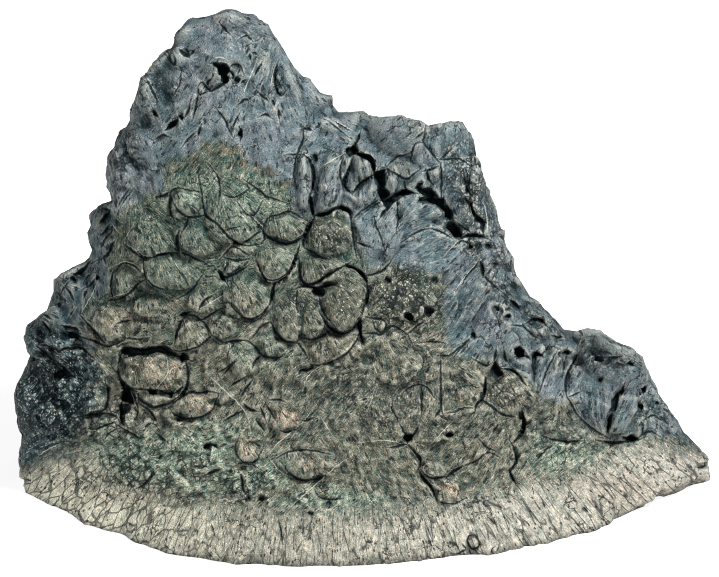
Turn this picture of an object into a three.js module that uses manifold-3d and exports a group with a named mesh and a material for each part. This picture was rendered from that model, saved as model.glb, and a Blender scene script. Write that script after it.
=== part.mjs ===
// A lump of distilled thulium metal that stands on its broken underside.
// Millimetres, X to the right, Y away from the viewer, Z up, with the origin
// at the middle of the box's underside. The lump is one solid: a mountain
// shaped body, the pillow lobes, ribs and crystals that grew from it, and the
// cracks and holes that are open in it.

import * as THREE from "three";
import { ImprovedNoise } from "three/addons/math/ImprovedNoise.js";
import { mergeVertices } from "three/addons/utils/BufferGeometryUtils.js";
import Module from "manifold-3d";

const wasm = await Module();
wasm.setup();

// Driving sizes
const CREST_Y = 2;
const ROOT_Z = -1;
const SECTION_STEP = 0.75;
const SIDE_LENGTH = 1.3;
const ROUGHNESS = 0.34;
const METAL_COLOUR = "#7d8078";

// The body is three masses grown together. Each is a stack of level sections,
// given as [height, x] along its two sides and [height, reach] for how far it
// comes forward of the crest and goes back behind it.
const FOOT = {
  left: [[ROOT_Z, -15], [0.7, -15], [1.4, -14.8], [3.4, -15.2], [4.6, -15], [5.7, -14.3], [6.7, -12.8]],
  right: [[ROOT_Z, 15], [0.4, 15], [1.5, 14.2], [3, 13.3], [4.3, 12.3], [5.2, 12], [6, 11], [6.7, 8.8]],
  front: [[ROOT_Z, 10], [0, 10], [0.7, 9.3], [1.9, 7], [2.6, 6.5], [5.5, 5.9], [6.7, 4.6]],
  back: [[ROOT_Z, 5.9], [1.5, 6], [4, 5.6], [5.7, 4.9], [6.7, 3.6]],
  sweep: 0.6,
};
const SHOULDER = {
  left: [[2, -13.6], [5.5, -14.6], [7, -14.3], [9, -13.4], [9.8, -12.2], [12, -11.8], [12.8, -11], [16.2, -10.5]],
  right: [[2, 9.5], [7.6, 8], [8.5, 6.9], [10, 6.3], [13, 5.4], [15.4, 4.8], [16.3, 4.1], [16.6, 3.2]],
  front: [[2, 6.7], [6, 5.8], [12, 4.2], [15.5, 2.9], [16.6, 1.9]],
  back: [[2, 5.4], [8, 4.4], [13, 2.9], [16, 1.5], [16.6, 0.9]],
  sweep: 0,
};
const PEAK = {
  left: [[10, -10.6], [14.9, -11], [16.2, -10.5], [18.6, -9.7], [19.9, -8.5], [21.5, -7.4], [22, -6.3]],
  right: [[10, 0.6], [16, -0.2], [17, -1.2], [18.7, -2.3], [19.8, -3.3], [21, -3.9], [22, -5.6]],
  front: [[10, 4.4], [17, 2.7], [20.5, 1.5], [22, 0.4]],
  back: [[10, 3.2], [17, 1.7], [20.5, 1], [22, 0.3]],
  sweep: 0,
};
const MASSES = [FOOT, SHOULDER, PEAK];

// Places on the front are given as seen by someone who looks down at this
// angle: [across, up] from the middle of the foot, then the half sizes.
const LOOK_DOWN = THREE.MathUtils.degToRad(25);
const TO_VIEWER = new THREE.Vector3(0, -Math.cos(LOOK_DOWN), Math.sin(LOOK_DOWN));
const UP_IN_VIEW = new THREE.Vector3(0, Math.sin(LOOK_DOWN), Math.cos(LOOK_DOWN));

const LOBES = [
  [-7.7, 11.6, 0.7, 0.7], [-5.6, 11.1, 1.3, 1.45], [-3.3, 10.5, 1.05, 0.75],
  [-7, 10.1, 1.05, 0.8], [-9.1, 10.5, 1.2, 1.3], [-10.2, 8.3, 0.65, 0.85],
  [-8.2, 8.6, 1.4, 0.9], [-5, 7.7, 1.05, 1.15], [-3.9, 9, 0.95, 0.87],
  [-1.6, 10.1, 1.05, 1], [-1.8, 8.8, 1.15, 0.8], [-0.9, 7.4, 1.1, 1.5],
  [-2.3, 6.7, 0.75, 1.1], [-3.3, 6.6, 0.65, 1.05], [-1.3, 5.4, 1.35, 0.85],
  [-3.9, 5.5, 0.8, 0.65], [-7.3, 5.9, 0.85, 0.8], [-6, 6.4, 0.7, 0.75],
  [-5.2, 4.9, 0.65, 0.75], [-9, 4.3, 1.5, 1.1], [-10.1, 2.4, 0.4, 0.7],
  [-7.3, 2.9, 1, 0.7], [-2.3, 0.3, 1.25, 0.7], [-5, 1, 0.6, 0.65],
  [-3.4, 2.3, 0.6, 0.6], [6.3, 3.4, 1, 1], [3.4, -0.3, 0.7, 0.6], [8.4, 1.7, 1.1, 0.5],
];
const LOBE_BULGE = 0.85;
const LOBE_TILT = 0.25;
const LOBE_SPREAD = 1.2;
const SUNK = 0.4;

// Long ribs of the broken grey metal: [across, up, half width, half length, lean]
const RIBS = [
  [-2.5, 12.4, 0.45, 1.35, 0], [-1.5, 12.3, 0.6, 1.2, 0.1], [0.6, 10.2, 0.9, 1.5, -0.4],
  [0.1, 13, 0.8, 0.9, 0.3], [4, 8.6, 0.5, 1.9, -0.6], [4.9, 7.4, 0.5, 1.9, -0.6],
  [5.8, 6.2, 0.45, 1.6, -0.5], [8.7, 4.2, 0.45, 1.5, -0.2], [9.7, 4.1, 0.5, 1.6, -0.1],
  [10.8, 3.6, 0.5, 1.5, 0.1], [11.9, 2.7, 0.5, 1.4, 0.2], [-9.6, 13.6, 0.8, 1.5, -0.3],
  [-7.6, 16.3, 0.9, 1.9, -0.5], [-4.6, 15, 0.9, 1.6, 0.3],
];

// Blocky crystals: [across, up, half size, turn]
const CRYSTALS = [
  [2.9, 13.1, 0.75, 0.3], [4.2, 12.4, 0.7, 0.9], [4.5, 11, 0.65, 0.5], [3.5, 10.9, 0.6, 1.2],
  [-7.2, 18.6, 0.8, 0.4], [-5.4, 19, 0.8, 1], [-3.8, 17.4, 0.7, 0.2], [-13.3, 6.9, 0.8, 0.8],
  [-11.6, 8.8, 0.7, 0.3], [9.9, 5.5, 0.7, 0.7],
];

// Cracks: the widest width, the depth and the places that each runs through
const CRACKS = [
  [0.5, 1.5, [[1.4, 2], [2, 1.3], [2.4, 0.4], [2.8, -0.6], [3.2, -1.3]]],
  [0.6, 1.7, [[6.8, 2.6], [7, 1.7], [6.4, 1.2], [6.6, 0.3], [6.6, -0.7]]],
  [0.4, 1.2, [[3.3, 4.7], [3.4, 3], [3.2, 1.2]]],
  [0.9, 2, [[2.4, 11.7], [3.3, 11.5], [3.9, 10.8], [4, 10]]],
  [0.5, 1.5, [[-2.3, 13.4], [-2.2, 11.8], [-1.4, 11.2], [-0.6, 11.3], [-0.4, 10.7]]],
  [0.5, 1.3, [[-0.6, 13.8], [0.5, 13.6], [0.8, 12.6]]],
  [0.5, 1.4, [[6.6, 5.2], [7.3, 5.1], [7.5, 4.1]]],
  [0.5, 1.4, [[8.8, 5.1], [8.7, 3.7]]],
  [0.5, 1.4, [[11.2, 3.8], [10.6, 2.7], [10.6, 1.9]]],
];

// Holes: [across, up, half width, half height]
const HOLES = [
  [1, 12.3, 0.5, 0.6], [-6.2, 17.3, 0.45, 0.4], [-5.5, 17.3, 0.35, 0.6],
  [-8.5, 16.3, 0.6, 0.5], [5.6, 4.3, 0.45, 0.55], [6.1, 6.8, 0.4, 0.35],
  [7.8, 6.4, 0.4, 0.3], [-10.4, 3.3, 0.35, 1],
];

const noise = new ImprovedNoise();

// Value of a [height, value] list at a height, with straight lines between points
function valueAt(list, height) {
  const next = list.findIndex(([level]) => level >= height);
  if (next === 0) return list[0][1];
  if (next < 0) return list[list.length - 1][1];
  const [low, lowValue] = list[next - 1];
  const [high, highValue] = list[next];
  return THREE.MathUtils.lerp(lowValue, highValue, (height - low) / (high - low));
}

// Point of a mass's skin at a height and an angle that starts at the left side
// and goes round by the front
function skinPoint(mass, height, angle) {
  const left = valueAt(mass.left, height);
  const right = valueAt(mass.right, height);
  const across = -Math.cos(angle);
  const outward = Math.sin(angle);
  const low = Math.max(0, 1 - Math.max(height, 0) / 9);
  const sweep = across > 0 && outward > 0 ? 1 - mass.sweep * low * across * across : 1;
  const reach = outward > 0 ? valueAt(mass.front, height) : valueAt(mass.back, height);
  const x = (left + right + (right - left) * across) / 2;
  return new THREE.Vector3(x, CREST_Y - reach * outward * sweep, height);
}

// Bumps of two sizes that push the skin in and out, none on the smooth skirt
function roughSkinPoint(mass, height, angle) {
  const point = skinPoint(mass, height, angle);
  const coarse = noise.noise(point.x * 0.42, point.y * 0.42, point.z * 0.42);
  const fine = noise.noise(point.x * 1.1 + 9, point.y * 1.1, point.z * 1.1);
  const push = ROUGHNESS * (1.6 * coarse + fine) * THREE.MathUtils.smoothstep(point.z, 1, 3);
  point.y -= push * Math.sin(angle) * 1.6;
  point.x -= push * Math.cos(angle) * 0.5;
  return point;
}

function solidFrom(geometry) {
  geometry.deleteAttribute("normal");
  geometry.deleteAttribute("uv");
  const merged = mergeVertices(geometry, 1e-5);
  const vertProperties = new Float32Array(merged.attributes.position.array);
  const triVerts = new Uint32Array(merged.index.array);
  return new wasm.Manifold(new wasm.Mesh({ numProp: 3, vertProperties, triVerts }));
}

function closedGeometry(points, triangles) {
  const geometry = new THREE.BufferGeometry();
  geometry.setFromPoints(points);
  geometry.setIndex(triangles);
  return geometry;
}

// Level sections from the bottom of a mass to its top, joined ring to ring
function massSolid(mass) {
  const bottom = mass.left[0][0];
  const top = mass.left[mass.left.length - 1][0];
  const width = valueAt(mass.right, bottom) - valueAt(mass.left, bottom);
  const around = 2 * Math.round((width * 1.25) / SIDE_LENGTH);
  const levels = Math.round((top - bottom) / SECTION_STEP);
  const points = [];
  const triangles = [];
  for (let level = 0; level <= levels; level += 1) {
    const height = THREE.MathUtils.lerp(bottom, top, level / levels);
    for (let step = 0; step < around; step += 1) {
      points.push(roughSkinPoint(mass, height, (2 * Math.PI * step) / around));
    }
  }
  for (let level = 0; level < levels; level += 1) {
    for (let step = 0; step < around; step += 1) {
      const here = level * around + step;
      const beside = level * around + ((step + 1) % around);
      triangles.push(here, beside, beside + around);
      triangles.push(here, beside + around, here + around);
    }
  }
  const floor = points.length;
  const summit = floor + 1;
  const middleOf = (height) => (valueAt(mass.left, height) + valueAt(mass.right, height)) / 2;
  points.push(new THREE.Vector3(middleOf(bottom), CREST_Y, bottom));
  points.push(new THREE.Vector3(middleOf(top), CREST_Y, top + 0.1));
  for (let step = 0; step < around; step += 1) {
    const beside = (step + 1) % around;
    triangles.push(floor, beside, step);
    triangles.push(summit, levels * around + step, levels * around + beside);
  }
  return solidFrom(closedGeometry(points, triangles));
}

// Whether a point is within a mass
function isWithin(mass, point) {
  if (point.z < mass.left[0][0] || point.z > mass.left[mass.left.length - 1][0]) return false;
  const left = valueAt(mass.left, point.z);
  const right = valueAt(mass.right, point.z);
  const across = (2 * point.x - left - right) / (right - left);
  if (Math.abs(across) >= 1) return false;
  return point.y > skinPoint(mass, point.z, Math.acos(-across)).y;
}

// Where a line of sight at [across, up] meets the front of the body
function onFront(across, up) {
  const start = new THREE.Vector3(across, CREST_Y, 0).addScaledVector(UP_IN_VIEW, up);
  for (let distance = 14; distance > -4; distance -= 0.05) {
    const point = start.clone().addScaledVector(TO_VIEWER, distance);
    if (MASSES.some((mass) => isWithin(mass, point))) return point;
  }
  return start;
}

// Matrix that sets a shape into the front, its Y up the face and its Z out
function onFrontMatrix(across, up, turn, tilt, size) {
  const place = onFront(across, up).addScaledVector(TO_VIEWER, -SUNK * size.z);
  const frame = new THREE.Matrix4().makeBasis(new THREE.Vector3(1, 0, 0), UP_IN_VIEW, TO_VIEWER);
  const turned = new THREE.Matrix4().makeRotationFromEuler(new THREE.Euler(tilt, 0, turn));
  frame.multiply(turned).scale(size).setPosition(place);
  return frame;
}

function ball(detail, matrix) {
  return solidFrom(new THREE.IcosahedronGeometry(1, detail).applyMatrix4(matrix));
}

function angularBall(matrix) {
  return solidFrom(new THREE.OctahedronGeometry(1, 1).applyMatrix4(matrix));
}

function lobe([across, up, halfWidth, halfHeight]) {
  const depth = LOBE_BULGE * Math.sqrt(halfWidth * halfHeight) + 0.3;
  const size = new THREE.Vector3(halfWidth * LOBE_SPREAD, halfHeight * LOBE_SPREAD, depth);
  const isLarge = halfWidth * halfHeight > 0.9;
  return ball(isLarge ? 2 : 1, onFrontMatrix(across, up, 0, LOBE_TILT, size));
}

function rib([across, up, halfWidth, halfLength, lean]) {
  const size = new THREE.Vector3(halfWidth * 1.1, halfLength, halfWidth * 1.2);
  return angularBall(onFrontMatrix(across, up, lean, 0, size));
}

function crystal([across, up, halfSize, turn]) {
  const size = new THREE.Vector3(halfSize, halfSize * 1.2, halfSize);
  const matrix = onFrontMatrix(across, up, turn, turn * 0.5, size);
  return solidFrom(new THREE.DodecahedronGeometry(1, 0).applyMatrix4(matrix));
}

function hole([across, up, halfWidth, halfHeight]) {
  const size = new THREE.Vector3(halfWidth, halfHeight, 0.9);
  return angularBall(onFrontMatrix(across, up, 0, 0, size));
}

// A wedge that follows the crack, open to the viewer and sharp at its floor
function crack([width, depth, places]) {
  const points = [];
  const triangles = [];
  const route = places.map(([across, up]) => onFront(across, up));
  route.forEach((place, index) => {
    const before = route[Math.max(index - 1, 0)];
    const after = route[Math.min(index + 1, route.length - 1)];
    const along = after.clone().sub(before).normalize();
    const beside = new THREE.Vector3().crossVectors(TO_VIEWER, along).normalize();
    const isEnd = index === 0 || index === route.length - 1;
    const half = isEnd ? 0.06 : width / 2;
    const mouth = place.clone().addScaledVector(TO_VIEWER, 1.4);
    points.push(mouth.clone().addScaledVector(beside, half));
    points.push(mouth.clone().addScaledVector(beside, -half));
    points.push(place.clone().addScaledVector(TO_VIEWER, isEnd ? -0.3 : -depth));
  });
  for (let station = 0; station < route.length - 1; station += 1) {
    for (let corner = 0; corner < 3; corner += 1) {
      const here = station * 3 + corner;
      const beside = station * 3 + ((corner + 1) % 3);
      triangles.push(here, beside, beside + 3);
      triangles.push(here, beside + 3, here + 3);
    }
  }
  const last = (route.length - 1) * 3;
  triangles.push(0, 2, 1);
  triangles.push(last, last + 1, last + 2);
  return solidFrom(closedGeometry(points, triangles));
}

// Everything lower than the flat underside
function groundBlock() {
  const block = new THREE.BoxGeometry(60, 60, 10);
  block.translate(0, 0, -5);
  return solidFrom(block);
}

// The body with all that grew on it, less what is open in it. Crumbs that a
// crack cuts loose are dropped.
function lump() {
  const grown = [...LOBES.map(lobe), ...RIBS.map(rib), ...CRYSTALS.map(crystal)];
  const open = [...CRACKS.map(crack), ...HOLES.map(hole)];
  let solid = massSolid(FOOT).add(massSolid(SHOULDER)).add(massSolid(PEAK));
  for (const piece of grown) solid = solid.add(piece);
  for (const piece of open) solid = solid.subtract(piece);
  const pieces = solid.subtract(groundBlock()).decompose();
  return pieces.reduce((largest, piece) => (piece.volume() > largest.volume() ? piece : largest));
}

function geometryOf(solid) {
  const mesh = solid.getMesh();
  const geometry = new THREE.BufferGeometry();
  geometry.setAttribute("position", new THREE.BufferAttribute(mesh.vertProperties, 3));
  geometry.setIndex(new THREE.BufferAttribute(mesh.triVerts, 1));
  return geometry;
}

const metal = new THREE.MeshStandardMaterial({ color: METAL_COLOUR, roughness: 0.55, metalness: 0.6 });
const thuliumLump = new THREE.Mesh(geometryOf(lump()), metal);
thuliumLump.name = "thulium_lump";

const specimen = new THREE.Group();
specimen.add(thuliumLump);
export default specimen;
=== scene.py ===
# %% [markdown]
# # A lump of distilled thulium metal
#
# Thulium is purified by boiling it off and letting the vapour settle on a
# cooler wall. What grows there is a crust of columns, lobes and feathery
# crystals, and this specimen is a lump broken out of such a crust. It is one
# piece of metal, so it is made here as one skin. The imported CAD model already
# holds its size and its main masses. This lesson gives it its real surface.

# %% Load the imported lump
import itertools
import math

import bmesh
import bpy
import numpy as np
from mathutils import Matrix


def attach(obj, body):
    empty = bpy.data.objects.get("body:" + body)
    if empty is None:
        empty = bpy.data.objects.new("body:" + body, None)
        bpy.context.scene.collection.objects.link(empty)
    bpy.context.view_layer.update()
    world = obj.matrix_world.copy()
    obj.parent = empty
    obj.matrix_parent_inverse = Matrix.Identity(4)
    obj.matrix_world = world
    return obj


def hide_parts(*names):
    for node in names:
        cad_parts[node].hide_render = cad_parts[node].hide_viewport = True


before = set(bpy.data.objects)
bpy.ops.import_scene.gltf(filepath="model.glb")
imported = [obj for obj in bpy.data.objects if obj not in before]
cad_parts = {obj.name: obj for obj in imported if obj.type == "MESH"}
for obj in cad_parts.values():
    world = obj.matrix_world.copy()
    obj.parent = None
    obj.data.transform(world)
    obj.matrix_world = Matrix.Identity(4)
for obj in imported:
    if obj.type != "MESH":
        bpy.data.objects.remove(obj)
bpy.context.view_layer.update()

import openvdb
from mathutils import Vector

# %% [markdown]
# ## The camera
#
# The lump is seen from the front and 25 degrees above. A very long lens from
# far away keeps all lines of sight nearly parallel, as in a photo taken
# through a macro lens and put together from many focus steps. With parallel
# sight, a place in the picture is two simple lengths on the lump: how far
# across and how far up, in a plane that faces the viewer. All shapes on the
# front are placed by those two, so the picture's scale is set here once.

# %% Set the camera at the photo's angle
MM = 0.001
FRAME_PIXELS = (719, 577)
PIXELS_PER_MM = 23.0
FOOT_PIXEL = (364, 470)
CREST_Y = 2.0
LOOK_DOWN = math.radians(25)
CAMERA_DISTANCE = 850.0
SENSOR_WIDTH = 36.0
CLIP_METRES = (0.01, 10.0)

ACROSS = np.array([1.0, 0.0, 0.0])
TO_VIEWER = np.array([0.0, -math.cos(LOOK_DOWN), math.sin(LOOK_DOWN)])
UP_IN_VIEW = np.array([0.0, math.sin(LOOK_DOWN), math.cos(LOOK_DOWN)])


def across_up(places):
    """Photo pixels as lengths in mm across and up from the middle of the foot."""
    places = np.asarray(places, dtype=float)
    across = (places[..., 0] - FOOT_PIXEL[0]) / PIXELS_PER_MM
    up = (FOOT_PIXEL[1] - places[..., 1]) / PIXELS_PER_MM
    return np.stack([across, up], axis=-1)


def set_camera():
    across, up = across_up((FRAME_PIXELS[0] / 2, FRAME_PIXELS[1] / 2))
    target = np.array([across, CREST_Y, 0.0]) + up * UP_IN_VIEW
    data = bpy.data.cameras.new("long_lens")
    data.sensor_width = SENSOR_WIDTH
    data.lens = CAMERA_DISTANCE * SENSOR_WIDTH * PIXELS_PER_MM / FRAME_PIXELS[0]
    data.clip_start, data.clip_end = CLIP_METRES
    camera = bpy.data.objects.new("long_lens", data)
    camera.location = Vector((target + TO_VIEWER * CAMERA_DISTANCE) * MM)
    camera.rotation_euler = (math.pi / 2 - LOOK_DOWN, 0, 0)
    bpy.context.scene.collection.objects.link(camera)
    bpy.context.scene.camera = camera
    return camera


camera = set_camera()
print("lens in mm:", round(camera.data.lens))

# %% [markdown]
# ## A grid to sculpt in
#
# The skin has overhangs, gaps under lobes and holes, which a flat sheet that
# is pushed in and out can't have. A field can: it holds, for every point of a
# grid, how far that point is outside the metal, with negative values inside.
# Shapes are joined by taking the lower of two fields and cut by taking the
# higher. The skin is then drawn where the field is zero.

# %% Lay out the grid
STEP = 0.08
GRID_ENDS = ((-15.5, 15.5), (-8.4, 8.7), (-0.8, 22.7))
GRID_X, GRID_Y, GRID_Z = (np.arange(low, high, STEP, dtype=np.float32) for low, high in GRID_ENDS)
X = GRID_X[:, None, None]
Y = GRID_Y[None, :, None]
Z = GRID_Z[None, None, :]
GRID_START = np.array([GRID_X[0], GRID_Y[0], GRID_Z[0]])
UP = (Y - CREST_Y) * UP_IN_VIEW[1] + Z * UP_IN_VIEW[2]


def unit(values):
    """Values held between 0 and 1."""
    return np.clip(values, 0, 1)


def lattice_of(*axes):
    """The places of a grid with the given axes."""
    return np.stack(np.meshgrid(*axes, indexing="ij"), axis=-1)


def melt(field, other, reach):
    """Two shapes as one, with a fillet of the given reach where they meet."""
    blend = unit(0.5 + 0.5 * (other - field) / reach)
    return other + (field - other) * blend - reach * blend * (1 - blend)


def keep_within(field, other, reach):
    """What two shapes share, with a rounded edge of the given reach."""
    return -melt(-field, -other, reach)


print("grid cells in millions:", round(GRID_X.size * GRID_Y.size * GRID_Z.size / 1e6, 1))

# %% [markdown]
# ## The three masses
#
# The lump is a broad foot with a ridge to the right, a flat topped shoulder
# and a peak. Each is a stack of level sections, half ellipses in front of the
# crest and behind it. The numbers are the CAD model's own: height,x along each
# side, and height,reach to the front and back. Lists of points are written as
# in an SVG drawing, as pairs with a comma, which keeps them short to read.

# %% Build the masses
def points_of(words):
    """Points from a text of pairs such as 1.5,14.2 with blanks between them."""
    return [tuple(float(part) for part in word.split(",")) for word in words.split()]


FOOT = {
    "left": points_of("-1,-15 0.7,-15 1.4,-14.8 3.4,-15.2 4.6,-15 5.7,-14.3 6.7,-12.8"),
    "right": points_of("-1,15 0.4,15 1.5,14.2 3,13.3 4.3,12.3 5.2,12 6,11 6.7,8.8"),
    "front": points_of("-1,6.9 2.6,6.5 5.5,5.9 6.7,4.6"),
    "back": points_of("-1,5.9 1.5,6 4,5.6 5.7,4.9 6.7,3.6"),
    "top": 6.9,
}
SHOULDER = {
    "left": points_of("2,-13.6 5.5,-14.6 7,-14.3 9,-13.4 9.8,-12.2 12,-11.8 12.8,-11 16.2,-10.5"),
    "right": points_of("2,9.5 7.6,8 8.5,6.9 10,6.3 13,5.4 15.4,4.8 16.3,4.3"),
    "front": points_of("2,6.7 6,5.8 12,4.2 15.5,2.9 16.6,1.9"),
    "back": points_of("2,5.4 8,4.4 13,2.9 16,1.5 16.6,0.9"),
    "top": 16.8,
}
PEAK = {
    "left": points_of("10,-10.6 14.9,-11 16.2,-10.5 18.6,-9.7 19.9,-8.5 21.5,-7.4 22,-6.3"),
    "right": points_of("10,0.6 16,-0.2 17,-1.2 18.7,-2.3 19.8,-3.3 21,-3.9 22,-5.6"),
    "front": points_of("10,4.4 17,2.7 20.5,1.5 22,0.4"),
    "back": points_of("10,3.2 17,1.7 20.5,1 22,0.3"),
    "top": 22.1,
}
SWELL = 0.3
FILLET = 0.8
TINY = 1e-5


def along_height(pairs):
    heights, values = zip(*pairs)
    return np.interp(GRID_Z, heights, values).astype(np.float32)[None, None, :]


def mass_field(mass, swell):
    left = along_height(mass["left"]) - swell
    right = along_height(mass["right"]) + swell
    front = along_height(mass["front"]) + swell
    back = along_height(mass["back"]) + swell
    half = (right - left) / 2
    across = (X - (left + right) / 2) / half
    reach = np.where(Y < CREST_Y, front, back)
    away = (Y - CREST_Y) / reach
    ring = np.sqrt(across**2 + away**2) + TINY
    slope = np.sqrt((across / half) ** 2 + (away / reach) ** 2) + TINY
    side = ring * (ring - 1) / slope
    return keep_within(side, Z - mass["top"] - swell / 2 + 0 * side, FILLET)


field = mass_field(FOOT, SWELL)
for mass in (SHOULDER, PEAK):
    field = melt(field, mass_field(mass, SWELL), FILLET)
print("metal share of the grid:", round(float((field < 0).mean()), 3))

# %% [markdown]
# ## Helpers for lines, outlines and chance
#
# Rims, gaps and zones are all drawn as lines of straight stretches, so one
# helper finds the nearest place on such a line, and others build on it. Nature
# is never straight, so places are first shaken by smooth random waves. Those
# are made from a small lattice of random values with a fixed seed, which gives
# the same lump on every run.

# %% Define the line and chance helpers
FAR_AWAY = 1e9


def length_of(steps):
    return np.hypot(steps[..., 0], steps[..., 1])


def nearest_on_line(points, line):
    """The way to points from a line of straight stretches, how far along it starts, and on which stretch."""
    best = np.full(points.shape[:-1], FAR_AWAY)
    way = np.zeros(points.shape)
    along = np.zeros(points.shape[:-1])
    stretch_number = np.zeros(points.shape[:-1], dtype=int)
    walked = 0.0
    for number, (start, end) in enumerate(zip(line[:-1], line[1:])):
        start, end = np.array(start, dtype=float), np.array(end, dtype=float)
        stretch = end - start
        length = float(np.hypot(*stretch)) + 1e-9
        share = unit(((points - start) @ stretch) / length**2)
        gap = points - start - share[..., None] * stretch
        distance = length_of(gap)
        nearer = distance < best
        best = np.where(nearer, distance, best)
        way = np.where(nearer[..., None], gap, way)
        along = np.where(nearer, walked + share * length, along)
        stretch_number = np.where(nearer, number, stretch_number)
        walked += length
    return way, along, stretch_number


def line_distance(points, line):
    """Distance from points to a line, and how far along it the nearest place is."""
    way, along, _ = nearest_on_line(points, line)
    return length_of(way), along


def is_inside(points, outline):
    """Whether points lie within a closed outline, by counting the edges to their right."""
    inside = np.zeros(points.shape[:-1], dtype=bool)
    outline = [tuple(corner) for corner in outline]
    for (ax, ay), (bx, by) in zip(outline, outline[1:] + outline[:1]):
        crosses = (ay > points[..., 1]) != (by > points[..., 1])
        if ay != by:
            inside ^= crosses & (points[..., 0] < ax + (points[..., 1] - ay) * (bx - ax) / (by - ay))
    return inside


def inward_distance(points, outline):
    """How far points lie within a closed outline, negative outside it."""
    outline = [tuple(corner) for corner in outline]
    distance, _ = line_distance(points, outline + outline[:1])
    return np.where(is_inside(points, outline), distance, -distance)


LATTICE = 64


def cloud(places, size, seed):
    """Smooth random values from -1 to 1 that change over the given size."""
    dimensions = places.shape[-1]
    chance = np.random.default_rng(seed)
    lattice = chance.uniform(-1, 1, (LATTICE,) * dimensions).astype(np.float32)
    low = np.floor(places / size).astype(np.int32)
    share = (places / size - low).astype(np.float32)
    share = share * share * (3 - 2 * share)
    total = np.zeros(places.shape[:-1], dtype=np.float32)
    for corner in itertools.product((0, 1), repeat=dimensions):
        weight = np.prod([share[..., k] if up else 1 - share[..., k] for k, up in enumerate(corner)], axis=0)
        total += weight * lattice[tuple((low[..., k] + up) % LATTICE for k, up in enumerate(corner))]
    return total


def shaken(places, size, amount, seed):
    """Places pushed about by smooth random waves of the given size."""
    push = [cloud(places, size, seed + k) for k in range(places.shape[-1])]
    return places + amount * np.stack(push, axis=-1)


print("random waves repeat after", LATTICE, "sizes")

# %% [markdown]
# ## The skirt
#
# Along the front the crust met a round wall, so its lower edge is a smooth
# apron with a curved rim. It is thin at the rim and slopes up to the lobes.
# The rim is a hand-picked line of points in plan. The height of the apron
# depends only on how far a point lies inside that line, and nothing of the
# lower front may stand out beyond it.

# %% Build the skirt
RIM = points_of("""
-15,1.2 -15,0.6 -14.6,-0.4 -14,-1.3 -13.2,-2 -12.6,-2.8 -12.2,-3.7 -11.6,-4 -10.7,-4.5 -9.7,-5.5 -8.7,-6.2
-7.6,-6.8 -6.5,-7.1 -5.4,-7.5 -4.2,-7.6 -2.9,-7.78 -1,-7.78 0.4,-7.6 1.6,-7.5 3.2,-7 4.7,-6.7 6,-6.4 6.9,-6
7.9,-5.4 9.3,-4.5 10.2,-4.3 10.8,-3.2 11.5,-2.3 12.1,-1.7 12.6,-0.8 13.3,-0.7 13.9,0.1 14.6,0.9 15,1.6
""")
APRON = points_of("""
-1,-1 0,0 0.12,0.35 0.4,0.75 1.2,1.35 2.4,2 3.4,2.7 6,4
""")
BEHIND_RIM = points_of("12,5 -12,5")
APRON_SLOPE = 0.75
APRON_FILLET = 0.7
APRON_BACK = 1.5
RIM_EDGE = 0.3
RIM_SLOPE = 0.8
RIM_BACK = 0.6

plan = lattice_of(GRID_X, GRID_Y)
plan = shaken(shaken(plan, 0.9, 0.14, 150), 0.3, 0.08, 153)
from_rim, _ = line_distance(plan, RIM)
inside_rim = np.where(is_inside(plan, RIM + BEHIND_RIM), from_rim, -from_rim)
apron_height = np.interp(inside_rim, *zip(*APRON)).astype(np.float32)
apron = (Z - apron_height[:, :, None]) * APRON_SLOPE
apron = np.maximum(apron, (Y - CREST_Y - APRON_BACK) + 0 * apron)
field = melt(field, apron, APRON_FILLET)
above_rim = RIM_SLOPE * np.clip(Z - 0.1, 0, None)
behind_rim = 2 * np.clip(Y - RIM_BACK, 0, None)
beyond_rim = -APRON_SLOPE * inside_rim[:, :, None] - above_rim - behind_rim
field = keep_within(field, beyond_rim.astype(np.float32), RIM_EDGE)
print("rim length in mm:", round(float(line_distance(np.array([RIM[-1]]), RIM)[1][0]), 1))

# %% [markdown]
# ## The lobes
#
# What catches the eye on the face are pillow lobes that hang over each other
# like scales. Each is an egg shape sunk into the face, with its top tipped
# back, so that its lower edge stands out and the upper one runs into the face.
# A table gives every lobe's place x,y in the photo, its half width and half
# height in pixels and how far it stands proud in mm. The ribs of the grey metal
# also have a lean in degrees before that last number.

# %% List the lobes and the ribs
def rows_of(words):
    """Rows from a text: a place x,y starts a row, and the row's plain numbers follow it."""
    rows = []
    for word in words.split():
        if "," in word:
            rows.append([float(part) for part in word.split(",")])
        else:
            rows[-1].append(float(word))
    return rows


LOBES = rows_of("""
187,203 16 16 0.55  235,214 28 30 0.6  288,229 24 16 0.6  203,238 24 17 0.4  157,230 26 27 0.55
131,281 15 19 0.5  176,270 31 20 0.55  249,294 24 25 0.65  278,262 22 20 0.6  243,248 17 8 0.3
234,268 9 9 0.3  329,236 25 22 0.7  323,268 25 16 0.5  343,300 25 33 0.85  313,314 14 24 0.45
289,318 15 24 0.5  335,346 28 18 0.6  275,343 16 14 0.4  196,334 18 17 0.55  225,322 15 17 0.4
245,358 15 17 0.4  156,370 34 25 0.95  158,398 17 8 0.45  131,412 9 17 0.4  197,403 22 15 0.5
173,414 9 9 0.3  310,463 28 14 0.3  249,448 13 14 0.35  285,419 14 12 0.35  510,391 25 24 0.65
433,468 15 9 0.3  449,488 12 11 0.3  558,430 24 9 0.3  97,395 14 17 0.45  162,306 26 14 0.35
115,322 20 18 0.35  205,300 16 12 0.35  222,388 16 13 0.25  185,440 16 12 0.25  408,300 26 20 0.3
382,327 7 7 0.2  395,360 26 22 0.25  462,384 22 18 0.25  430,428 22 14 0.2
""")
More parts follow.
